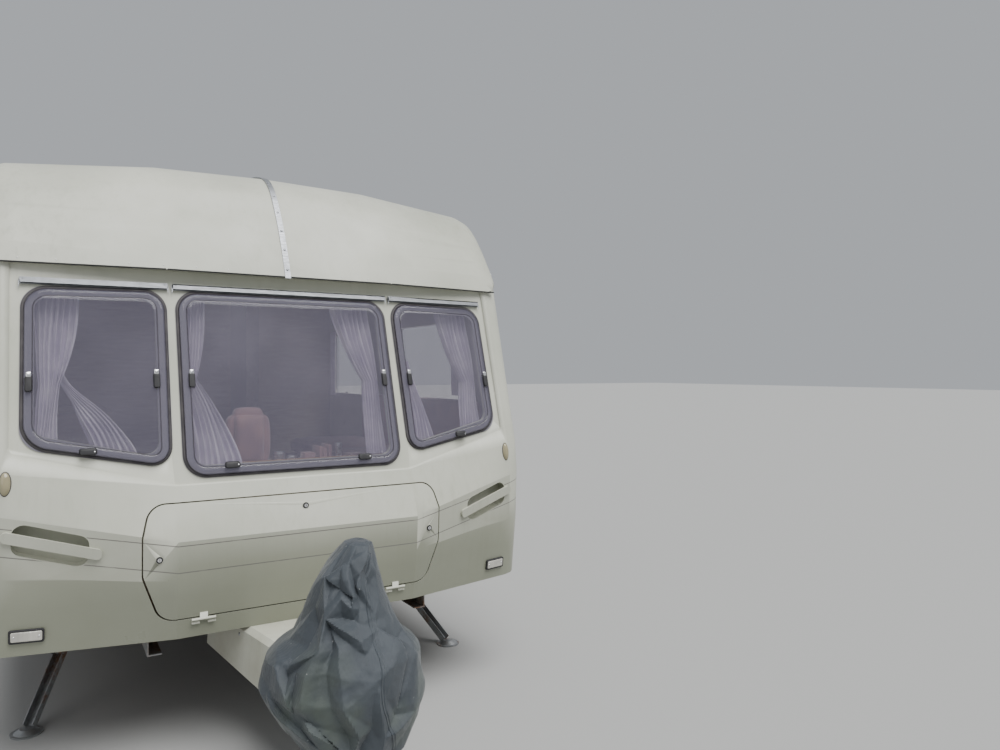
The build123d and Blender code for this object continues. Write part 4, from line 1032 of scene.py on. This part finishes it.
def turned(bm, profile, centre, steps):
    # spins a line of (along, radius) places a full turn about the X axis through a centre
    verts = [bm.verts.new(centre + Vector((along, 0, radius))) for along, radius in profile]
    edges = [bm.edges.new(pair) for pair in zip(verts, verts[1:])]
    bmesh.ops.spin(bm, geom=verts + edges, cent=centre, axis=Vector((1, 0, 0)), dvec=Vector((0, 0, 0)),
                   angle=2 * math.pi, steps=steps, use_merge=True, use_normal_flip=False, use_duplicate=False)
    bmesh.ops.remove_doubles(bm, verts=bm.verts, dist=1e-6)


for side, name in ((-1, "wheel_offside"), (1, "wheel_nearside")):
    cx, cy, cz = tyreShape["middle"]
    centre = Vector((side * cx, cy, cz))
    half = tyreShape["profile"]
    bm = bmesh.new()
    line = [(out, radius) for out, radius, _ in half]
    turned(bm, line + [(-out, radius) for out, radius in reversed(line[:-1])], centre, tyreShape["steps"])
    for v in bm.verts:
        off = v.co - centre
        radius = math.hypot(off.y, off.z)
        share = next((c for out, r, c in half if abs(abs(off.x) - out) < 1e-5 and abs(radius - r) < 1e-5), 0)
        step = round(math.atan2(off.z, off.y) / (2 * math.pi) * tyreShape["steps"])
        later = 1 if off.x >= tyreShape["shoulder"] else 0
        if share and (step + later) % 4 == 0:
            v.co -= Vector((0, off.y, off.z)) / radius * tyreShape["dip"] * share
    bmesh.ops.recalc_face_normals(bm, faces=bm.faces)
    tyre = finishPiece("treaded_" + name, bm, tyreRubber, name, smooth=24)
    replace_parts(tyre, name.replace("wheel", "tyre"))
    bm, rubber = bmesh.new(), bmesh.new()
    for i in range(hub["nuts"]):
        a = math.radians(45 + 360 / hub["nuts"] * i)
        rise = hub["nutCircle"] * Vector((0, math.cos(a), math.sin(a)))
        foot = centre + rise + Vector((side * hub["nutFoot"], 0, 0))
        neck, head = (foot + Vector((side * out, 0, 0)) for out in (0.003, 0.013))
        addRod(bm, foot, foot + Vector((side * 0.004, 0, 0)), 0.0125, 0.0115, 24)
        addRod(bm, neck, head, 0.0100, 0.0097, 6)
        addDome(bm, head, (side, 0, 0), 0.0068, 0.0035, 14)
    turned(bm, [(side * out, radius) for out, radius in hub["cap"]], centre, 40)
    valve = centre + Vector((side * hub["valve"][0], 0.0, hub["valve"][1]))
    addRod(rubber, valve, valve + Vector((side * 0.020, 0, 0.004)), 0.0048, 0.0042, 14)
    bmesh.ops.recalc_face_normals(bm, faces=bm.faces)
    finishPiece("nuts_" + name, bm, chromeTrim, name, smooth=35)
    finishPiece("valve_" + name, rubber, blackPlastic, name, smooth=35)
print("wheels dressed")


# Windows in the side walls and the rear, as in the construction: side, first and last place along, sill, head
bodyWindow = {
    "sides": (
        (1, 0.640, 1.640, 1.150, 1.740), (1, 2.020, 2.860, 1.230, 1.740), (-1, 0.640, 1.640, 1.150, 1.740),
        (-1, 2.080, 2.920, 1.290, 1.740), (-1, 3.660, 4.060, 1.390, 1.740),
    ),
    "rear": (-0.440, 0.440, 1.180, 1.740),
    "radius": 0.050,
    "skin": [(0, -0.0045), (0.0006, -0.0140), (0.003, -0.0195), (0.008, -0.0216), (0.018, -0.0220),
             (0.002, -0.0208), (0.002, -0.0220), (0.010, -0.0220)],
    "gasket": [(0, 0.0), (0.001, -0.0032), (0.004, -0.0048), (0.006, -0.0042), (0.010, 0.0)],
    "catch": [(0, -0.0205), (0.0004, -0.0216), (0.002, -0.0219)],
    "rail": [(0, 0.001), (0.0002, -0.0085), (0.0016, -0.0097)], "railInset": 0.012,
}
# the rear, as in the construction: how far it lies behind the nose, and how it leans in above its foot
rearFace = {"length": 4.700, "foot": 0.860, "lean": 0.0556}
rearY = noseY + rearFace["length"]


def onRear(x, z, depth):
    return Vector((-x, rearY - (z - rearFace["foot"]) * rearFace["lean"] - depth, z))


panes, gaskets, knobs, rails = bmesh.new(), bmesh.new(), bmesh.new(), bmesh.new()
windowPlaces = [(onSide(side), noseY + a, noseY + b, *ends) for side, a, b, *ends in bodyWindow["sides"]]
windowPlaces.append((lambda x, z, depth: onRear(x, z, depth + 0.004), *bodyWindow["rear"]))
for place, a, b, low, high in windowPlaces:
    outline = between(a, b, low, high)
    addPlate(panes, outline, bodyWindow["radius"], bodyWindow["skin"], place, 8, edgeRings, wall=0.0035)
    addPlate(gaskets, grow(outline, 0.007), bodyWindow["radius"] + 0.006, bodyWindow["gasket"], place, 8,
             hollow=True)
    for t in (0.25, 0.75):
        knob = rectangle(a + (b - a) * t, low + 0.032, 0.050, 0.020)
        addPlate(knobs, knob, 0.005, bodyWindow["catch"], place, 4)
    rail = between(a + bodyWindow["railInset"], b - bodyWindow["railInset"], high + 0.005, high + 0.019)
    addPlate(rails, rail, 0.0015, bodyWindow["rail"], place, 3)
panePiece = finishPiece("bodyPanes", panes, [smokedAcrylic, smokedEdge], smooth=50)
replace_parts(panePiece, "body_windows")
finishPiece("bodyGaskets", gaskets, sealRubber, smooth=60)
finishPiece("bodyCatches", knobs, blackPlastic)
finishPiece("bodyWindowRails", rails, brightAluminium)
print("side and rear windows glazed")


# The split entrance door: pressed trim round each leaf, handle and lock, latch, and the rain strip over it
door = {
    "edges": (1.4275, 2.0385), "lower": (0.511, 1.296), "upper": (1.304, 2.224), "radius": 0.020,
    "window": (1.511, 1.958, 1.396, 2.044), "handle": (1.968, 1.185), "latch": (1.985, 1.345),
    "handleSize": (0.090, 0.150), "leverSize": (0.064, 0.022), "latchSize": (0.060, 0.034),
    "strip": (2.236, 2.254), "seal": (0.499, 2.232),
    "trimRings": [(0, 0.001), (0.0006, -0.0022), (0.003, -0.0034), (0.012, -0.0034), (0.003, -0.0018),
                  (0.001, 0.0005)],
    "handleRings": [(0, 0.0), (0.0006, -0.0050), (0.003, -0.0068), (0.012, -0.0068), (0.004, -0.0020),
                    (0.006, -0.0018)],
    "leverRings": [(0, -0.002), (0.001, -0.0110), (0.003, -0.0130)],
    "latchRings": [(0, 0.0), (0.0006, -0.0050), (0.002, -0.0066), (0.006, -0.0080)],
    "frameRings": [(0, 0.0), (0.001, -0.0060), (0.004, -0.0096), (0.010, -0.0098), (0.003, -0.0082),
                   (0.002, -0.0076)],
    "stripRings": [(0, 0.0), (0.0004, -0.0060), (0.003, -0.0095), (0.003, -0.0060)],
    "sealRings": [(0, 0.0002), (0.0006, -0.0008), (0.0090, -0.0008), (0.0006, 0.0002)],
}
nearside = onSide(1)
a, b = door["edges"]
leafBody = {leaf: nodes["door_" + leaf]["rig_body"] for leaf in ("lower", "upper")}
for leaf, body in leafBody.items():
    low, high = door[leaf]
    platePiece("doorTrim_" + leaf, brightAluminium, body, 40, grow(between(a, b, low, high), -0.006),
               door["radius"], door["trimRings"], nearside, 6, hollow=True)
bm, chrome = bmesh.new(), bmesh.new()
y, z = door["handle"]
addPlate(bm, rectangle(y, z, *door["handleSize"]), 0.014, door["handleRings"], nearside, 6)
lever = rectangle(y - 0.004, z + 0.012, *door["leverSize"])
addPlate(chrome, lever, 0.008, door["leverRings"], nearside, 5)
lock = nearside(y, z - 0.048, -0.0050)
addRod(chrome, lock, lock + Vector((0.0040, 0, 0)), 0.0100, 0.0092, 24)
addBox(bm, lock + Vector((0.0036, -0.0010, -0.0050)), lock + Vector((0.0046, 0.0010, 0.0050)))
finishPiece("doorHandlePlate", bm, blackPlastic, leafBody["lower"])
finishPiece("doorHandleLever", chrome, chromeTrim, leafBody["lower"])
platePiece("doorUpperLatch", blackPlastic, leafBody["upper"], 40,
           rectangle(*door["latch"], *door["latchSize"]), 0.008, door["latchRings"], nearside, 5)
platePiece("doorWindowFrame", sealRubber, leafBody["upper"], 50,
           grow(between(*door["window"]), 0.012), 0.060, door["frameRings"], nearside, 8, hollow=True)
cadCopy("door_window", smokedAcrylic, 40)
platePiece("doorRainStrip", brightAluminium, root, 40,
           between(a - 0.030, b + 0.030, *door["strip"]), 0.006, door["stripRings"], nearside, 4)
platePiece("doorSeal", sealRubber, root, 40,
           between(a - 0.012, b + 0.012, *door["seal"]), 0.020, door["sealRings"], nearside, 6, hollow=True)
print("door furnished")


# Rear lamp clusters in three colours: how far in from the side they lie, and each colour's share of the width
rearLamp = {
    "from": 0.400, "to": 0.140, "low": 0.560, "high": 0.680,
    "parts": ((0.0, 0.24, "amber"), (0.24, 0.78, "red"), (0.78, 1.0, "white")),
    "housing": [(0, 0.020), (0.0004, -0.0080), (0.003, -0.0100), (0.006, -0.0100)],
    "lens": [(0, -0.0090), (0.0004, -0.0150), (0.002, -0.0172), (0.002, -0.0179), (0.001, -0.0179)],
}
lensPaint = {"amber": amberLens, "red": redLens, "white": whiteLens}
lensParts = {colour: bmesh.new() for colour in lensPaint}
housing = bmesh.new()


def onTail(x, z, depth):
    return Vector((x, rearY - depth, z))


for side in (-1, 1):
    outer, inner = (side * (frontFace["side"] - rearLamp[end]) for end in ("to", "from"))
    low, high = rearLamp["low"], rearLamp["high"]
    box = between(min(outer, inner), max(outer, inner), low, high)
    addPlate(housing, box, 0.008, rearLamp["housing"], onTail, 4)
    for a, b, colour in rearLamp["parts"]:
        x0, x1 = sorted((outer + (inner - outer) * a, outer + (inner - outer) * b))
        box = between(x0 + 0.003, x1 - 0.003, low + 0.007, high - 0.007)
        addPlate(lensParts[colour], box, 0.005, rearLamp["lens"], onTail, 4)
for colour, part in lensParts.items():
    piece = finishPiece("rearLens_" + colour, part, lensPaint[colour])
    if colour == "red":
        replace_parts(piece, "rear_lamps")
finishPiece("rearLampHousings", housing, blackPlastic)
print("rear lamps fitted")


# Seat and back pads along both benches, of crowned foam in plush
benchPads = {
    "along": ((-1.4735, -0.697), (-0.693, 0.0825)),
    "seat": (0.478, 0.958, 0.902, 1.012), "back": (0.968, 1.060, 0.906, 1.285),
    "crown": 0.014, "backCrown": 0.6, "round": 0.030,
}


def addPad(name, low, high, crown, soft):
    # a box swelled in its middle and drawn in between its corners
    bm = bmesh.new()
    low, high = Vector(low), Vector(high)
    middle, half = (low + high) / 2, (high - low) / 2
    bmesh.ops.create_cube(bm, size=2.0)
    bmesh.ops.subdivide_edges(bm, edges=bm.edges[:], cuts=17, use_grid_fill=True)
    scale = Vector((soft / half.x, soft / half.y, soft / half.z))
    for v in bm.verts:
        u = v.co.copy()
        inner = Vector([min(max(u[i], -1 + scale[i]), 1 - scale[i]) for i in range(3)])
        over = Vector([(u[i] - inner[i]) / scale[i] for i in range(3)])
        if over.length > 1:
            over.normalize()
        spot = Vector([(inner[i] + over[i] * scale[i]) * half[i] for i in range(3)])
        swell = Vector([(1 - abs(u[(i + 1) % 3]) ** 3) * (1 - abs(u[(i + 2) % 3]) ** 3) for i in range(3)])
        for i in range(3):
            spot[i] += math.copysign(crown, u[i]) * (swell[i] - 0.55) * abs(u[i]) ** 2
        v.co = middle + spot
    bmesh.ops.recalc_face_normals(bm, faces=bm.faces)
    pad = finishPiece(name, bm, rosePlush, smooth=60)
    return pad


for side in (-1, 1):
    for i, (a, b) in enumerate(benchPads["along"]):
        for kind in ("seat", "back"):
            x0, x1, low, high = benchPads[kind]
            x0, x1 = sorted((side * x0, side * x1))
            name = "pad_" + kind + ("Off" if side < 0 else "Near") + str(i + 1)
            crown = benchPads["crown"] * (1 if kind == "seat" else benchPads["backCrown"])
            pad = addPad(name, (x0 + 0.004, a + 0.004, low + 0.002), (x1 - 0.004, b - 0.004, high - 0.006),
                         crown, benchPads["round"])
            if name == "pad_seatOff1":
                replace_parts(pad, "cushions")
print("benches padded")


# What stands on the chest behind the middle window: a low rail, tins, a box and some books
shelf = {
    "top": 1.0115, "front": -1.545, "rail": (-0.400, 0.400), "posts": 7, "tinsBack": 0.075, "lid": 0.86,
    # what it is, across, size and height
    "things": (
        ("tin", 0.005, 0.040, 0.070), ("tin", 0.060, 0.033, 0.050), ("box", 0.130, 0.050, 0.060),
        ("book", 0.180, 0.014, 0.085), ("book", 0.198, 0.018, 0.078), ("book", 0.222, 0.015, 0.092),
        ("tin", 0.275, 0.028, 0.095), ("box", 0.345, 0.060, 0.046),
    ),
}
bm, jars, boxes = bmesh.new(), bmesh.new(), bmesh.new()
a, b = shelf["rail"]
front, top = shelf["front"], shelf["top"]
addBox(bm, (a, front, top + 0.030), (b, front + 0.012, top + 0.042), 0.003)
for i in range(shelf["posts"]):
    x = a + 0.01 + i * (b - a - 0.02) / (shelf["posts"] - 1)
    addRod(bm, (x, front + 0.006, top - 0.001), (x, front + 0.006, top + 0.031), 0.005, 0.005, 10)
for kind, x, size, tall in shelf["things"]:
    if kind == "tin":
        low = Vector((x, front + shelf["tinsBack"], top))
        lid, high = (low + Vector((0, 0, tall * share)) for share in (shelf["lid"], 1))
        addRod(jars, low, lid, size * 0.62, size * 0.62, 28)
        addRod(jars, lid, high, size * 0.66, size * 0.60, 28)
    else:
        back = front + 0.030 + (0.110 if kind == "book" else 0.070)
        addBox(boxes, (x - size / 2, front + 0.030, top + 0.0004), (x + size / 2, back, top + tall), 0.002)
finishPiece("shelfRail", bm, honeyWood)
finishPiece("shelfTins", jars, brightAluminium)
finishPiece("shelfBooks", boxes, rosePlush)
# a loose pillow standing on the chest beside the tins
pillow = {"low": (-0.215, -1.520, 1.014), "high": (-0.045, -1.420, 1.270), "crown": 0.020, "round": 0.040}
addPad("loosePillow", pillow["low"], pillow["high"], pillow["crown"], pillow["round"])
print("inside dressed")


# Small fixings outside: the fairing's screws, and dark strips of sealant under the moulding's lip that also
# stand in for the shadow line there (painted shade)
fairingScrew = {
    "spots": ((-2.330, 0.300), (-2.330, 0.420), (-2.060, 0.415), (-1.800, 0.420)), "startX": 0.6,
    "radius": 0.0070, "height": 0.0032,
}
bm = bmesh.new()
for side in (-1, 1):
    for y, z in fairingScrew["spots"]:
        spot, out = touch("drawbar_fairing", (side * fairingScrew["startX"], y, z), (-side, 0, 0))
        addDome(bm, spot, out, fairingScrew["radius"], fairingScrew["height"], 14)
finishPiece("fairingScrews", bm, galvanised, smooth=60)
lip = {
    "spans": ((-1.060, -0.472), (-0.468, 0.468), (0.472, 1.060)), "middle": 0.278, "side": 0.360,
    "low": 1.8285, "high": 1.8335, "rings": [(0, 0.012), (0.0003, -0.0006), (0.0008, -0.0012)],
}


def onLip(x, z, depth):
    return Vector((x, noseY + lip["middle"] + pastBend(x) * (lip["side"] - lip["middle"]) + depth, z))


# dark strips on the lip's lower edge: a sealant line whose darkness also stands in for the shadow under the
# lip (painted shade)
bm = bmesh.new()
for a, b in lip["spans"]:
    addPlate(bm, between(a, b, lip["low"], lip["high"]), 0.001, lip["rings"], onLip, 2)
finishPiece("lipSealantShadowLine", bm, blackPlastic)
print("small fixings set")


# The photograph's camera, its place given from the nose
camera = {"lens": 27.0, "at": (-0.8941, -2.8817, 1.44), "turn": 31.576, "tilt": -0.372, "roll": -0.086}
lens = bpy.data.cameras.new("eye")
lens.lens = camera["lens"]
lens.sensor_width = 36
lens.clip_start = 0.05
eye = addObject("eye", lens)
eye.location = Vector(camera["at"]) + Vector((0, noseY, 0))
eye.rotation_mode = "XYZ"
eye.rotation_euler = [math.radians(turn) for turn in (90 + camera["tilt"], camera["roll"], -camera["turn"])]
bpy.context.scene.camera = eye

light = {
    "sky": (0.88, 0.92, 0.97), "strength": 0.50, "sun": 4.1, "spread": 50, "sunWay": (-1.5, 3.9, -8.5),
    "fill": 50, "fillAt": (-6.0, -5.0, 3.6), "fillAim": (0, -1.5, 1.0), "fillSize": (5, 4),
}
world = bpy.data.worlds.new("studio")
bpy.context.scene.world = world
world.use_nodes = True
world.node_tree.nodes["Background"].inputs[0].default_value = (*light["sky"], 1)
world.node_tree.nodes["Background"].inputs[1].default_value = light["strength"]


def addLamp(name, kind, energy, at, way):
    lamp = bpy.data.lights.new(name, kind)
    lamp.energy = energy
    holder = addObject(name, lamp)
    holder.location = at
    holder.rotation_mode = "QUATERNION"
    holder.rotation_quaternion = Vector(way).to_track_quat("-Z", "Y")
    return lamp


overhead = addLamp("overhead", "SUN", light["sun"], (0, 0, 0), light["sunWay"])
overhead.angle = math.radians(light["spread"])
fillWay = Vector(light["fillAim"]) - Vector(light["fillAt"])
fill = addLamp("nearFill", "AREA", light["fill"], light["fillAt"], fillWay)
fill.shape = "RECTANGLE"
fill.size, fill.size_y = light["fillSize"]

bm = bmesh.new()
bmesh.ops.create_grid(bm, x_segments=1, y_segments=1, size=60)
ground = meshOf("studioFloor", bm)
floorPiece = addObject("studioFloor", ground)
ground.materials.append(newMaterial("paleFloor", (0.39, 0.39, 0.38), 0.9))

print("scene ready")
